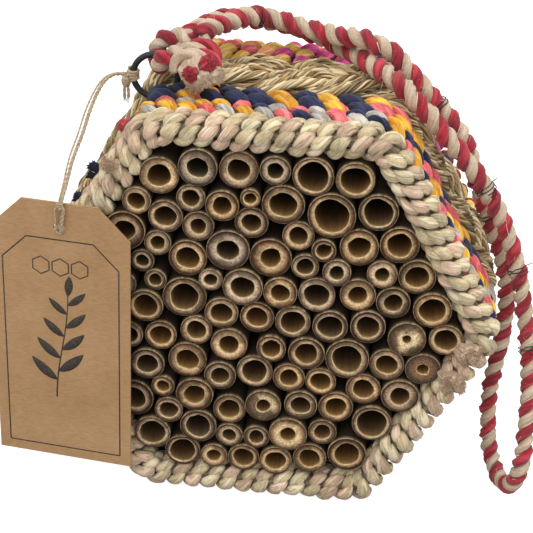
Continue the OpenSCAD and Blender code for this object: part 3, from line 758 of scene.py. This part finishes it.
def addLeaf(draft, spec, runAt, arcAt, arcTable, slot, edgeSlot):
    rings, sides = 18, 22
    share = np.linspace(-1, 1, rings)
    half = spec["long"] / 2 * dice.uniform(0.9, 1.12)
    slant = math.radians(spec["slant"] + dice.uniform(-4, 4))
    run = runAt + share * half * math.cos(slant)
    arc = arcAt + spec["turn"] * share * half * math.sin(slant)
    front = spec["turn"] * share  # the front end lies on its neighbours, the rear end dives under them
    rise = spec["rise"] * dice.uniform(0.6, 1.3) * (1 - share ** 2) + spec["tilt"] * front
    rise = rise - spec["dive"] * np.maximum(-front, 0) ** 3
    centre, normal = bandPlace(spec, run, np.interp(arc, arcTable[0], arcTable[1]), rise)
    tangent = unit(np.gradient(centre, axis=0))
    up = squared(normal, tangent)
    side = np.cross(tangent, up)
    roll = dice.uniform(-0.25, 0.25)
    side, up = math.cos(roll) * side + math.sin(roll) * up, math.cos(roll) * up - math.sin(roll) * side
    skew = dice.uniform(-0.25, 0.25)
    profile = np.maximum(1 - np.abs(share + skew * (1 - share ** 2)) ** 2.1, 0.02) ** 0.6
    theta = roundSteps(sides)
    waves = foldWaves(3, 0.045, (-0.35, 0.35), (2, 3, 4)) + foldWaves(5, 0.03, (-0.6, 0.6), (5, 6, 7, 8))
    fold = (1 + ripple(theta, share * half, waves)) * profile[:, None] * dice.uniform(0.93, 1.08)
    wide, thick = spec["halfWide"], spec["halfThick"]
    slots = np.full((rings - 1, sides), slot)
    if edgeSlot is not None:
        slots[:, 1:4] = edgeSlot
    tone = np.full((rings, 3), 0.5)
    shade = 0.9 * np.maximum(-front, 0) ** 2 + 0.5 * np.maximum(front, 0) ** 5  # both ends lie in shade
    tone[:, 0] = dice.uniform(0.45, 0.95) * (1 - shade)
    uv = strandUv(share * half + dice.uniform(0, 900), np.linspace(0, math.pi * (wide + thick), sides + 1))
    addGrid(draft, ovalTube(centre, side, up, theta, wide * fold, thick * fold), uv, slots, tone)


endTufts = dict(count=9, spread=0.75, size=(0.32, 0.5), fibres=70)
bandCore = dict(rings=420, sides=20, rise=-0.9)


def buildClothBand(name, spec, nodes):
    # cloths are listed for twelfths of the band, anticlockwise from the right-hand corner
    draft = newDraft()
    edge = spec.get("edge", ())
    cloths = spec["cloths"]
    names = sorted({c for part in cloths for c in part} | set(edge))
    angle = np.linspace(-2 * math.pi, 2 * math.pi, 1441)
    arc = lengths(np.stack([spec["deep"] * np.cos(angle), spec["wide"] * np.sin(angle), 0 * angle], 1))
    arcTable = (arc - np.interp(0, angle, arc), angle)
    total = hexTotal(spec["apothem"], spec["corner"])
    count = round(total / spec["step"])
    for row, arcAt in enumerate(spec["rows"]):
        for i in range(count):
            runAt = (i + 0.5 * row + dice.uniform(-0.06, 0.06)) * total / count
            runAt += spec["turn"] * (arcAt - spec["rows"][0]) / math.tan(math.radians(spec["slant"]))
            part = cloths[math.floor(runAt / total * len(cloths)) % len(cloths)]
            code = part[(i + row * 2) % len(part)]
            edged = edge and code == edge[0] and dice.random() < 0.4
            addLeaf(draft, spec, runAt, arcAt + dice.uniform(-0.2, 0.2), arcTable, names.index(code),
                    names.index(edge[1]) if edged else None)
    for tip, radius, root, code in spec["ends"]:
        for _ in range(endTufts["count"]):
            nudge = np.array([dice.uniform(-1, 1), dice.uniform(-0.3, 0.3), dice.uniform(-1, 1)])
            nudge = endTufts["spread"] * radius * nudge
            addTuft(draft, tip + nudge, radius * dice.uniform(*endTufts["size"]), names.index(code),
                    root + 0.7 * nudge, endTufts["fibres"])
    # core under the leaves, with painted shade: its lowest tone makes it the darkest cloth
    rings, sides = bandCore["rings"], bandCore["sides"]
    run = np.arange(rings) * total / rings
    rise = np.full(rings, bandCore["rise"])
    core = np.stack([bandPlace(spec, run, np.full(rings, t), rise)[0] for t in roundSteps(sides)], 1)
    uv = strandUv(np.append(run, total), np.linspace(0, 24, sides + 1))
    addGrid(draft, core, uv, names.index(cloths[0][0]), (0.0, 0.5, 0.5), loop=True)
    return finishPiece(draft, name, [cloth[c] for c in names], nodes)


def cutEnds(tips, back, code):
    # cut ends that stick out of a band: tip, radius, root a little further in and back, cloth
    return [((x, y, z), radius, (x * 0.95, y + back, axisZ + (z - axisZ) * 0.95), code)
            for (x, y, z), radius in tips]


creams = [["greenCream", "pinkCream", "greenCream"], ["pinkCream", "greenCream", "greenCream", "pinkCream"]]
rimBand = dict(
    apothem=68.9, corner=8.7, middleY=-39.0, deep=3.3, wide=4.1, rows=[3.3 * i - 8 for i in range(7)],
    step=6.3, long=7.9, slant=34, turn=1, rise=1.4, tilt=0.5, dive=0.8, halfWide=2.15, halfThick=1.75,
    cloths=creams * 6,
    ends=cutEnds([((-51.6, -47.2, 131.2), 2.0), ((74.4, -47.2, 69.6), 4.0), ((69.6, -47.2, 57.4), 3.8)], 5,
                 "pinkCream"))
narrowBand = dict(
    apothem=70.4, corner=9.9, middleY=-27.0, deep=1.6, wide=2.9, rows=(-6.4, -2.2, 2.2, 6.4),
    step=6.4, long=9.8, slant=38, turn=-1, rise=0.6, tilt=0.5, dive=0.8, halfWide=2.25, halfThick=2.0,
    cloths=[["golden", "coral", "navy", "grey"], ["golden", "navy", "golden", "coral"],
            ["grey", "navy", "coral", "grey", "coral"], ["golden", "grey", "coral", "golden"],
            ["golden", "navy", "golden"], ["grey", "coral", "navy"], ["golden", "grey", "coral"],
            ["navy", "coral", "grey"], ["golden", "navy", "grey"], ["coral", "grey", "golden"],
            ["navy", "golden", "coral"], ["grey", "navy", "golden"]],
    ends=cutEnds([((-64.0, -29, 110.4), 3.8)], 0.5, "navy"))
goldenBand = dict(
    apothem=69.6, corner=9.1, middleY=-14.5, deep=2.0, wide=5.0, rows=(-9.6, -3.3, 3.3, 9.6),
    step=8.4, long=13.8, slant=40, turn=-1, rise=0.6, tilt=0.6, dive=0.9, halfWide=3.0, halfThick=2.3,
    edge=("golden", "coral"),  # some golden leaves have a coral edge
    cloths=[["coral", "navy", "golden"], ["navy", "golden", "coral"], ["golden", "navy", "golden", "navy"],
            ["navy", "golden", "navy"], ["golden", "navy", "golden"], ["coral", "golden", "navy"],
            ["golden", "grey", "navy"], ["navy", "golden", "golden"], ["golden", "coral", "navy"],
            ["golden", "navy"], ["coral", "navy", "golden"], ["golden", "navy", "grey"]],
    ends=(cutEnds([((-61.9, -18, 115.4), 3.0)], 0.5, "navy")
          + cutEnds([((-51.4, -17, 134.0), 2.6)], 0.5, "coral")))
backBand = dict(
    apothem=68.8, corner=8.3, middleY=36.4, deep=1.9, wide=7.2, rows=(-7.0, -2.3, 2.5, 7.2),
    step=7.4, long=8.9, slant=42, turn=1, rise=0.7, tilt=0.5, dive=0.8, halfWide=2.75, halfThick=2.4,
    cloths=[["navy", "yellow", "red"], ["navy", "plum", "magenta"],
            ["magenta", "yellow", "magenta", "yellow", "coral"], ["yellow", "yellow", "orange", "coral"],
            ["orange", "red", "yellow"], ["navy", "navy", "red"], ["magenta", "orange", "yellow"],
            ["navy", "yellow", "coral"], ["magenta", "yellow", "red"], ["plum", "yellow", "orange"],
            ["navy", "magenta", "yellow"], ["coral", "yellow", "navy"]],
    ends=[])
buildClothBand("frontRimPlait", rimBand, ["front_rim"])
buildClothBand("narrowClothPlait", narrowBand, ["narrow_cloth_band"])
buildClothBand("goldenClothPlait", goldenBand, ["golden_cloth_band"])
buildClothBand("backClothPlait", backBand, ["back_cloth_band"])
print("cloth bands are laid")


# grass plaits: three strands, each of a few cords of twisted blades
def plaitFrame(spec, strand, count):
    # centre line of one strand of the plait and the directions across it
    total = hexTotal(spec["apothem"], spec["corner"])
    run = np.arange(count) * total / count
    place, out = hexLine(spec["apothem"], spec["corner"], run)
    phase = 2 * math.pi * (round(total / spec["pitch"]) * run / total + strand / 3)
    lean = math.radians(spec.get("lean", 0))
    outward = np.stack([out[:, 0], np.zeros(count), out[:, 1]], 1)
    back = np.array([0.0, 1.0, 0.0])
    normal = math.cos(lean) * outward - math.sin(lean) * back
    across = math.sin(lean) * outward + math.cos(lean) * back
    base = np.stack([place[:, 0], np.full(count, spec["middleY"]), place[:, 1] + axisZ], 1)
    sway = spec["sway"] * np.sin(phase)
    lift = spec["lift"] * np.sin(2 * phase)
    centre = base + sway[:, None] * across + lift[:, None] * normal
    tangent = unit(np.roll(centre, -1, 0) - np.roll(centre, 1, 0))
    up = squared(normal, tangent)
    return centre, np.cross(tangent, up), up, run, total


def addBlade(draft, line, out, way, wide, thick, spin, along, girth, loop=False):
    # one flat blade along a line, with a tone of its own
    out = squared(out, way)
    grid = ovalTube(line, np.cross(way, out), out, spin, wide / 2, thick / 2)
    tone = (dice.uniform(0.0, 1.0), max(0.0, dice.uniform(-0.4, 0.5)), dice.random())
    addGrid(draft, grid, strandUv(along, np.linspace(0, girth, len(spin) + 1)), 0, tone, loop=loop)


def addGrassStrand(draft, spec, strand):
    # cords of twisted blades that lie side by side and make one strand of the plait
    middle, side, up, run, total = plaitFrame(spec, strand, spec["rings"])
    along = np.append(run, total)

    def wave(low, high, size):
        return size * np.sin(2 * math.pi * dice.randint(low, high) * run / total + dice.uniform(0, 6))

    for cord in range(spec["cords"]):
        offset = (cord - (spec["cords"] - 1) / 2) * spec["cordStep"] + wave(4, 11, 0.5)
        lift = wave(5, 13, 0.7) + wave(9, 20, 0.4)
        centre = middle + offset[:, None] * side + lift[:, None] * up
        thick = spec["cordThick"] * (1 + wave(14, 30, 0.08) + wave(6, 12, 0.08))
        heart = 0.75 * thick[:, None]
        # painted shade: each cord's core gets the darkest tone, so it shows dark between the blades
        core = ovalTube(centre, side, up, roundSteps(10), heart, heart)
        addGrid(draft, core, strandUv(along, np.linspace(0, 12, 11)), 0, (0.05, 0.1, 0.5), loop=True)
        twist = round(total / spec["twistLength"] * dice.uniform(0.85, 1.15)) * 2 * math.pi / total
        for j in range(spec["blades"]):
            base = 2 * math.pi * (j + dice.uniform(-0.3, 0.3)) / spec["blades"]
            angle = base + twist * run + wave(3, 12, 0.15) + wave(8, 25, 0.12)
            height = thick * (1 + 0.1 * math.cos(2 * base) + wave(6, 25, 0.06) + wave(15, 40, 0.05))
            out = turned(angle, side, up)
            line = centre + height[:, None] * out
            way = unit(np.roll(line, -1, 0) - np.roll(line, 1, 0))
            bladeWide, bladeThick = dice.uniform(*spec["bladeWide"]), dice.uniform(*spec["bladeThick"])
            spin = roundSteps(6) + dice.uniform(-0.5, 0.5)
            addBlade(draft, line, out, way, bladeWide, bladeThick, spin, along + dice.uniform(0, 500),
                     2 * (bladeWide + bladeThick), loop=True)


def buildGrassPlait(name, spec, nodes):
    draft = newDraft()
    for strand in range(3):
        addGrassStrand(draft, spec, strand)
    return finishPiece(draft, name, [cloth["grass"]], nodes)


grassPlait = dict(apothem=71.2, corner=10.7, middleY=10.5, pitch=66, sway=10.2, lift=2.2, rings=560, cords=5,
                  cordStep=2.6, cordThick=1.2, blades=7, twistLength=11, bladeWide=(0.8, 1.4),
                  bladeThick=(0.6, 1.0))
buildGrassPlait("grassPlait", grassPlait, ["grass_band"])


def backTurn(number):
    # one turn of the coiled back, fitted to its solid
    low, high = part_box("back_plait_%d" % number)
    outer = (high.z - low.z) / 2 / mm
    return dict(apothem=outer - 7.0, corner=8.0, middleY=(low.y + high.y) / 2 / mm + 0.4, pitch=40, sway=3.6,
                lift=1.9, lean=-90, rings=max(int(outer * 5.6), 90), cords=2, cordStep=2.9, cordThick=1.55,
                blades=7, twistLength=19, bladeWide=(1.2, 1.9), bladeThick=(0.8, 1.2))


for number in range(1, 5):
    buildGrassPlait("backPlait%d" % number, backTurn(number), ["back_plait_%d" % number])

# the coil's start: one bundle of blades wound in a tight spiral
backButton = dict(turns=2.1, growth=0.62, blades=12, twist=9, bundleWide=2.9, bundleThick=1.7, bladeWide=1.7,
                  bladeThick=1.0, girth=3)


def buildBackButton():
    draft = newDraft()
    low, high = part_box("back_button")
    middle = np.array((low + high) / 2) / mm
    turns = np.linspace(0.6, 2 * math.pi * backButton["turns"], 90)
    radius = backButton["growth"] * turns
    line = middle + np.stack([radius * np.cos(turns), 0 * turns, radius * np.sin(turns)], 1)
    line = evenSteps(line, 0.8)
    _, side, up = carriedFrame(line, (0, 1, 0))
    run = lengths(line)
    for j in range(backButton["blades"]):
        angle = 2 * math.pi * j / backButton["blades"] + run / backButton["twist"]
        blade = line + turned(angle, backButton["bundleWide"] * side, backButton["bundleThick"] * up)
        way = unit(np.gradient(blade, axis=0))
        addBlade(draft, blade, turned(angle, side, up), way, backButton["bladeWide"],
                 backButton["bladeThick"], roundSteps(6), run + 40 * j, backButton["girth"])
    return finishPiece(draft, "backButton", [cloth["grass"]], ["back_button"])


buildBackButton()
print("grass plaits are woven")


# bamboo canes
def sawnBamboo(name, stops, dotShare=0.35, blotch=0.0):
    # sawn end of a bamboo cane: tan fibre by the bore, grey-brown further out, dark band under the skin
    # u of the UV runs from the bore (0) to the skin (1); fibre bundles are drawn at 0.45 mm
    material, add, spot = newMaterial(name)
    uv, tone = strandInputs(add)
    place = add("SeparateXYZ", Vector=uv)
    radial = add("Math", dict(operation="MULTIPLY"), _0=place, _1=1 / mm)
    cloud = add("TexNoise", Vector=spot, Scale=1 / (3.2 * mm), Detail=4.0, Roughness=0.6)
    fibre = add("TexVoronoi", Vector=spot, Scale=1 / (0.45 * mm))
    grain = add("TexNoise", Vector=spot, Scale=1 / (0.7 * mm), Detail=5.0)
    push = add("Math", dict(operation="MULTIPLY_ADD"), _0=cloud, _1=0.4, _2=radial)
    shift = add("Math", dict(operation="MULTIPLY_ADD"), _0=tone[2], _1=0.3, _2=push)
    level = add("Math", dict(operation="SUBTRACT"), _0=shift, _1=0.24)
    colour = add("ValToRGB", stops=stops, Fac=level)
    vivid = add("MapRange", Value=tone[1], To_Min=0.95, To_Max=0.64)
    light = add("MapRange", Value=tone[1], To_Min=1.55, To_Max=1.08)
    greyed = add("HueSaturation", Saturation=vivid, Value=light, Color=colour)
    dots = add("MapRange", Value=fibre, From_Min=0.1, From_Max=0.5, To_Min=dotShare, To_Max=0.0)
    dotted = add("Mix", colourMix, Factor=dots, _6=greyed, _7=linear("#4a3a2c"))
    worn = add("MapRange", Value=grain, From_Min=0.3, From_Max=0.7, To_Min=0.55, To_Max=1.4)
    bright = add("MapRange", Value=tone[0], To_Min=0.74, To_Max=1.24)
    gain = add("Math", dict(operation="MULTIPLY"), _0=worn, _1=bright)
    final = add("Mix", colourTimes, Factor=1.0, _6=dotted, _7=gain)
    if blotch:
        # dark stain over part of the face
        stain = add("TexNoise", Vector=spot, Scale=1 / (11 * mm), Detail=3.0)
        where = add("MapRange", Value=stain, From_Min=0.48, From_Max=0.55, To_Max=blotch)
        final = add("Mix", colourMix, Factor=where, _6=final, _7=linear("#3f2f24"))
    bump = add("Bump", Height=grain, Strength=0.4, Distance=0.25 * mm)
    bumpDots = add("Bump", Height=fibre, Strength=0.3, Distance=0.15 * mm, Normal=bump)
    shader = add("BsdfPrincipled", Base_Color=final, Roughness=0.85, Specular_IOR_Level=0.08,
                 Normal=bumpDots)
    return endMaterial(material, shader)


def caneBore():
    # inner wall of the cane: golden-brown pith skin, duller on dusty canes; painted shade darkens it further
    # in from the mouth
    material, add, spot = newMaterial("bambooBoreWall")
    uv, tone = strandInputs(add)
    place = add("SeparateXYZ", Vector=uv).outputs
    # painted shade: the wall darkens with depth into the bore, from a lit lip at the mouth to near black 24
    # mm in
    deep = add("MapRange", Value=place[1], From_Max=24 * mm)
    golden = add("ValToRGB", Fac=deep, stops=[(0.0, "#ae8c58"), (0.06, "#946f3f"), (0.25, "#7e5a33"),
                                              (0.6, "#5c4125"), (1.0, "#38281a")])
    dustyDepthShaded = add("ValToRGB", Fac=deep, stops=[(0.0, "#8a7a58"), (0.06, "#64563f"), (0.25, "#4a3e30"),
                                             (0.6, "#332a21"), (1.0, "#201a15")])
    both = add("Mix", colourMix, Factor=tone[1], _6=golden, _7=dustyDepthShaded)
    longWays = add("Mapping", Vector=spot, Scale=(1 / (0.8 * mm), 1 / (14 * mm), 1 / (0.8 * mm)))
    streaks = add("TexNoise", Vector=longWays, Scale=1.0, Detail=4.0)
    gain = add("MapRange", Value=streaks, From_Min=0.3, From_Max=0.7, To_Min=0.72, To_Max=1.2)
    final = add("Mix", colourTimes, Factor=1.0, _6=both, _7=gain)
    bump = add("Bump", Height=streaks, Strength=0.35, Distance=0.2 * mm)
    shader = add("BsdfPrincipled", Base_Color=final, Roughness=0.6, Normal=bump)
    return endMaterial(material, shader)


def caneSkin(name, codes, darkenMm=0):
    # long-streaked bamboo surface, dull with dirt; painted shade darkens the outside away from the cut, where
    # it runs back between the canes
    material, add, spot = newMaterial(name)
    longWays = add("Mapping", Vector=spot, Scale=(1 / (1.1 * mm), 1 / (30 * mm), 1 / (1.1 * mm)))
    streaks = add("TexNoise", Vector=longWays, Scale=1.0, Detail=5.0)
    skin = add("ValToRGB", Fac=streaks, stops=list(zip((0.3, 0.5, 0.7), codes)))
    if darkenMm:
        place = add("SeparateXYZ", Vector=strandInputs(add)[0]).outputs
        # painted shade: the skin turns near black from 0.25 mm to the given depth behind the cut
        gapShade = add("MapRange", Value=place[1], From_Min=0.25 * mm, From_Max=darkenMm * mm)
        skin = add("Mix", colourMix, Factor=gapShade, _6=skin, _7=linear("#33261b"))
    bump = add("Bump", Height=streaks, Strength=0.3, Distance=0.2 * mm)
    shader = add("BsdfPrincipled", Base_Color=skin, Roughness=0.65, Normal=bump)
    return endMaterial(material, shader)


caneMaterials = [
    sawnBamboo("sawnBambooEnd", [(0.0, "#dcc294"), (0.14, "#c8a97c"), (0.38, "#ab8c65"), (0.62, "#886648"),
                                 (0.8, "#4f3420"), (1.0, "#2c1c10")], blotch=0.62),
    caneSkin("bambooSkin", ["#5a4830", "#917c58", "#b9a27a"], 1.8),
    caneBore(),
    sawnBamboo("sawnBambooNode", [(0.0, "#c9ab78"), (0.3, "#d8be8e"), (0.55, "#c2a273"), (0.75, "#8a6a47"),
                                  (0.97, "#3e3129")], dotShare=0.5, blotch=0.8),
    sawnBamboo("darkSawnBamboo", [(0.0, "#4a3524"), (0.3, "#6a4c33"), (0.6, "#5a4231"), (0.97, "#33281f")]),
    caneSkin("paleInnerEdge", ["#9c8052", "#cbb080", "#dfc99c"]),
]
# hold is the narrow ring that keeps an edge crisp; face, skin, bore and edge are places in the list above
caneLook = dict(sides=48, bevel=0.22, lip=0.34, hold=0.06, outOfRound=0.009, boreOutOfRound=0.035,
                sawTilt=0.03, face=0, skin=1, bore=2, edge=5,
                # canes that stand out: place across and up from the axis, face, grey share, dark share
                marked=[(52, -1.5, 3, 0.2, 0.3), (58.5, -13.5, 4, 0.1, 0.5), (3, -34.5, 3, 0.3, 0.4),
                        (12.5, -45.5, 3, 0.0, 0.2), (-41, 20, 0, 0.9, 0.9), (-20, -45.5, 0, 0.8, 0.9),
                        (-23, 57, 0, 1.0, 0.3), (-12.5, 27.5, 0, 0.9, 0.4), (3.5, 58, 0, 0.9, 0.5)])


def looseParts(node):
    # canes of one row: middle, radius, bore radius, mouth and far end in mm
    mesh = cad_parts[node].data
    points = np.array([v.co for v in mesh.vertices]) / mm
    keys = {}
    weld = [keys.setdefault(tuple(np.round(p, 3)), i) for i, p in enumerate(points)]
    parent = list(range(len(points)))

    def root(i):
        while parent[i] != i:
            parent[i] = parent[parent[i]]
            i = parent[i]
        return i

    for edge in mesh.edges:
        parent[root(weld[edge.vertices[0]])] = root(weld[edge.vertices[1]])
    groups = {}
    for i in range(len(points)):
        groups.setdefault(root(weld[i]), []).append(i)
    canes = []
    for members in groups.values():
        part = points[members]
        low, high = part.min(0), part.max(0)
        x, z = (low[0] + high[0]) / 2, (low[2] + high[2]) / 2
        away = np.hypot(part[:, 0] - x, part[:, 2] - z)
        canes.append(dict(x=x, z=z, radius=(high[0] - low[0]) / 2, bore=away.min(), mouth=low[1],
                          far=high[1]))
    return sorted(canes, key=lambda c: c["x"])


def addCane(draft, cane):
    sides = caneLook["sides"]
    theta = roundSteps(sides)
    face, grey, dark = caneLook["face"], max(0.0, dice.uniform(-0.5, 0.75)), dice.uniform(0.0, 1.0)
    rough = dice.random() ** 4
    for x, up, which, markedGrey, markedDark in caneLook["marked"]:
        if math.hypot(cane["x"] - x, cane["z"] - axisZ - up) < 3.0:
            face, grey, dark = which, markedGrey, markedDark

    def wobbly(radius, *waves):
        return radius * (1 + sum(size * np.cos(turns * theta + dice.uniform(0, 6)) for turns, size in waves))

    outer = wobbly(cane["radius"], (2, caneLook["outOfRound"]), (3, 0.003))
    inner = wobbly(cane["bore"], (2, caneLook["boreOutOfRound"]), (3, 0.02), (5, 0.012))
    chip = np.array([max(0.0, dice.gauss(0, 0.10 + 0.35 * rough)) for _ in range(sides)])
    chip = 0.25 * np.roll(chip, 1) + 0.5 * chip + 0.25 * np.roll(chip, -1)
    tiltX, tiltZ = dice.uniform(-1, 1) * caneLook["sawTilt"], dice.uniform(-1, 1) * caneLook["sawTilt"]
    wall = outer - inner
    bevel, lip, hold = caneLook["bevel"], caneLook["lip"], caneLook["hold"]
    depth = cane["far"] - cane["mouth"]
    # rings from the back along the outside, over the sawn face and back through the bore
    rings = [(outer, back) for back in (depth, depth * 0.4, 7.0, 1.6, bevel + hold, bevel)]
    rings += [(outer - bevel, 0.0), (outer - bevel - hold, 0.0)]
    rings += [(inner + share * wall, 0.0) for share in (0.8, 0.55, 0.3)]
    rings += [(inner + lip + hold + 0.4 * chip, 0.0), (inner + lip + 0.4 * chip, 0.0),
              (inner + 0.5 * chip, 0.7 * lip + 0.3 * chip), (inner, 1.0 + chip)]
    rings += [(inner, back) for back in (3.5, 8.0, 16.0, 30.0, 50.0, depth)]
    skin, edge, bore = ([caneLook[k]] for k in ("skin", "edge", "bore"))
    zones = skin * 6 + [face] * 6 + edge + bore * (len(rings) - 14) + [face]
    grid, places = [], []
    for radius, back in rings:
        tilt = (tiltX * np.cos(theta) + tiltZ * np.sin(theta)) * radius * np.maximum(0.0, 1 - back / 6)
        grid.append(np.stack([cane["x"] + radius * np.cos(theta), cane["mouth"] + back + tilt,
                              cane["z"] + radius * np.sin(theta)], 1))
        place = np.stack([(radius - inner) / np.maximum(wall, 0.1), np.broadcast_to(back, (sides,))], 1)
        places.append(np.concatenate([place, place[:1]]))
    places.append(places[0])
    addGrid(draft, np.array(grid), np.array(places), zones, (dice.random(), min(grey, 1.0), dark), loop=True)


def buildCaneRow(number):
    node = "cane_row_%d" % number
    draft = newDraft()
    for cane in looseParts(node):
        addCane(draft, cane)
    return finishPiece(draft, "caneRow%d" % number, caneMaterials, [node])


for number in range(1, 12):
    buildCaneRow(number)
print("canes are set")


# the ring, the hidden frame and the card keep their own solids and get their finishes
def blackPaintedWire():
    # dipped black paint on steel wire: nearly flat black, a soft broken sheen
    material, add, spot = newMaterial("blackPaintedWire")
    grain = add("TexNoise", Vector=spot, Scale=1 / (0.6 * mm), Detail=4.0)
    colour = add("ValToRGB", Fac=grain, stops=[(0.3, "#0b0b0c"), (0.7, "#1d1d1f")])
    rough = add("MapRange", Value=grain, To_Min=0.42, To_Max=0.68)
    bump = add("Bump", Height=grain, Strength=0.25, Distance=0.1 * mm)
    return endMaterial(material, add("BsdfPrincipled", Base_Color=colour, Roughness=rough, Normal=bump))


def kraftCard():
    # uncoated kraft board: warm brown pulp with short darker and paler fibres and a faint cloud
    material, add, spot = newMaterial("uncoatedKraftCard")
    cloud = add("TexNoise", Vector=spot, Scale=1 / (16 * mm), Detail=3.0)
    slant = add("Mapping", Vector=spot, Rotation=(0, 0.5, 0),
                Scale=(1 / (2.6 * mm), 1 / (0.5 * mm), 1 / (0.45 * mm)))
    pulp = add("TexNoise", Vector=slant, Scale=1.0, Detail=4.0, Roughness=0.6)
    blend = add("Mix", Factor=0.6, _2=cloud, _3=pulp)
    colour = add("ValToRGB", Fac=blend, stops=[(0.3, "#a07a54"), (0.5, "#b08a62"), (0.7, "#be9a72")])
    bump = add("Bump", Height=pulp, Strength=0.2, Distance=0.12 * mm)
    shader = add("BsdfPrincipled", Base_Color=colour, Roughness=0.85, Specular_IOR_Level=0.3, Normal=bump)
    return endMaterial(material, shader)


def dress(node, material):
    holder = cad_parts[node]
    holder.data.materials.clear()
    holder.data.materials.append(material)


wirePaint = blackPaintedWire()
for node in ["handle_ring", "front_wire_hoop", "back_wire_hoop"] + ["corner_rod_%d" % k for k in range(1, 7)]:
    dress(node, wirePaint)
dress("tag", kraftCard())


# plain printed drawing on the card: a frame line, a leafy sprig and a row of small hexagons, sizes in mm
tagPrint = dict(frameInset=4.0, frameDrop=10, frameWide=0.45, chamfer=9.0, stemWide=0.55, stemLow=-26,
                stemHigh=16, stemSway=2.5, leafLong=11.0, leafWide=3.6, pairs=4, topLeaf=8, hexSize=3.4,
                hexGap=7.0, hexUp=27.0, inkThick=0.03)


def inkPaint():
    # black printing ink soaked into card: soft dark brown-black, a little uneven
    material, add, spot = newMaterial("screenPrintInk")
    grain = add("TexNoise", Vector=spot, Scale=1 / (0.8 * mm), Detail=4.0)
    colour = add("ValToRGB", Fac=grain, stops=[(0.35, "#2b2621"), (0.7, "#4a4036")])
    return endMaterial(material, add("BsdfPrincipled", Base_Color=colour, Roughness=0.85))


def buildTagPrint():
    draft = newDraft()
    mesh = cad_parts["tag"].data
    face = max((p for p in mesh.polygons if p.normal.y < -0.5), key=lambda p: p.area)
    normal = np.array(face.normal)
    right = unit(np.cross(np.array([0.0, 0.0, 1.0]), normal))
    up = np.cross(normal, right)
    points = np.array([v.co for v in mesh.vertices]) / mm
    front = points[points @ normal > (points @ normal).max() - 0.05]
    middle = (front.max(0) + front.min(0)) / 2
    halfWide, halfTall = np.ptp(front @ right) / 2, np.ptp(front @ up) / 2
    thick = tagPrint["inkThick"]
    middle = middle + ((front @ normal).mean() - middle @ normal + thick) * normal

    def ink(line, widths):
        # flat stroke: line across and up from the card's middle, with its width at each point
        line = np.array(line, float)
        widths = np.broadcast_to(widths, (len(line),))
        flow = unit(np.gradient(line, axis=0))
        aside = np.stack([-flow[:, 1], flow[:, 0]], 1) * widths[:, None] / 2
        grid = []
        for sign, lift in ((-1, 0.0), (1, 0.0), (1, thick), (-1, thick)):
            flat = line + sign * aside
            grid.append(middle + flat[:, :1] * right + flat[:, 1:] * up + lift * normal)
        addGrid(draft, np.stack(grid, 1), strandUv(np.arange(len(line)), np.arange(5)), 0)

    inset, cut = tagPrint["frameInset"], tagPrint["chamfer"]
    x, low, high = halfWide - inset, -halfTall + inset, halfTall - inset - tagPrint["frameDrop"]
    corners = [(-x, low), (x, low), (x, high - cut), (x - cut, high), (cut - x, high), (-x, high - cut),
               (-x, low)]
    for first, last in zip(corners, corners[1:]):
        ink([first, last], tagPrint["frameWide"])
    rise = np.linspace(0, 1, 24)
    stemTall = tagPrint["stemHigh"] - tagPrint["stemLow"]
    stem = np.stack([tagPrint["stemSway"] * np.sin(3 * rise - 1.5), tagPrint["stemLow"] + stemTall * rise], 1)
    ink(stem, tagPrint["stemWide"] * (1.1 - 0.5 * rise))
    share = np.linspace(0, 1, 14)
    leafWidth = tagPrint["leafWide"] * np.sin(math.pi * share) ** 0.8 + 0.2
    for k in range(tagPrint["pairs"]):
        smaller = 1 - 0.1 * k
        far = tagPrint["leafLong"] * smaller
        for sign in (-1, 1):
            root = stem[4 + 5 * k + (2 if sign > 0 else 0)]
            leaf = root + np.stack([sign * far * (0.85 * share), far * (0.5 * share + 0.25 * share ** 2)], 1)
            ink(leaf, leafWidth * smaller)
    ink(stem[-1] + np.stack([0.8 * share, tagPrint["topLeaf"] * share], 1), leafWidth * 0.8)
    turn = np.radians(np.arange(0, 361, 60) + 30)
    for k in (-1, 0, 1):
        hexagon = np.stack([k * tagPrint["hexGap"] + tagPrint["hexSize"] * np.cos(turn),
                            tagPrint["hexUp"] + tagPrint["hexSize"] * np.sin(turn)], 1)
        ink(hexagon, tagPrint["frameWide"])
    return finishPiece(draft, "tagPrint", [inkPaint()], [], "swing_tag")


buildTagPrint()
print("ring, frame and card are finished")
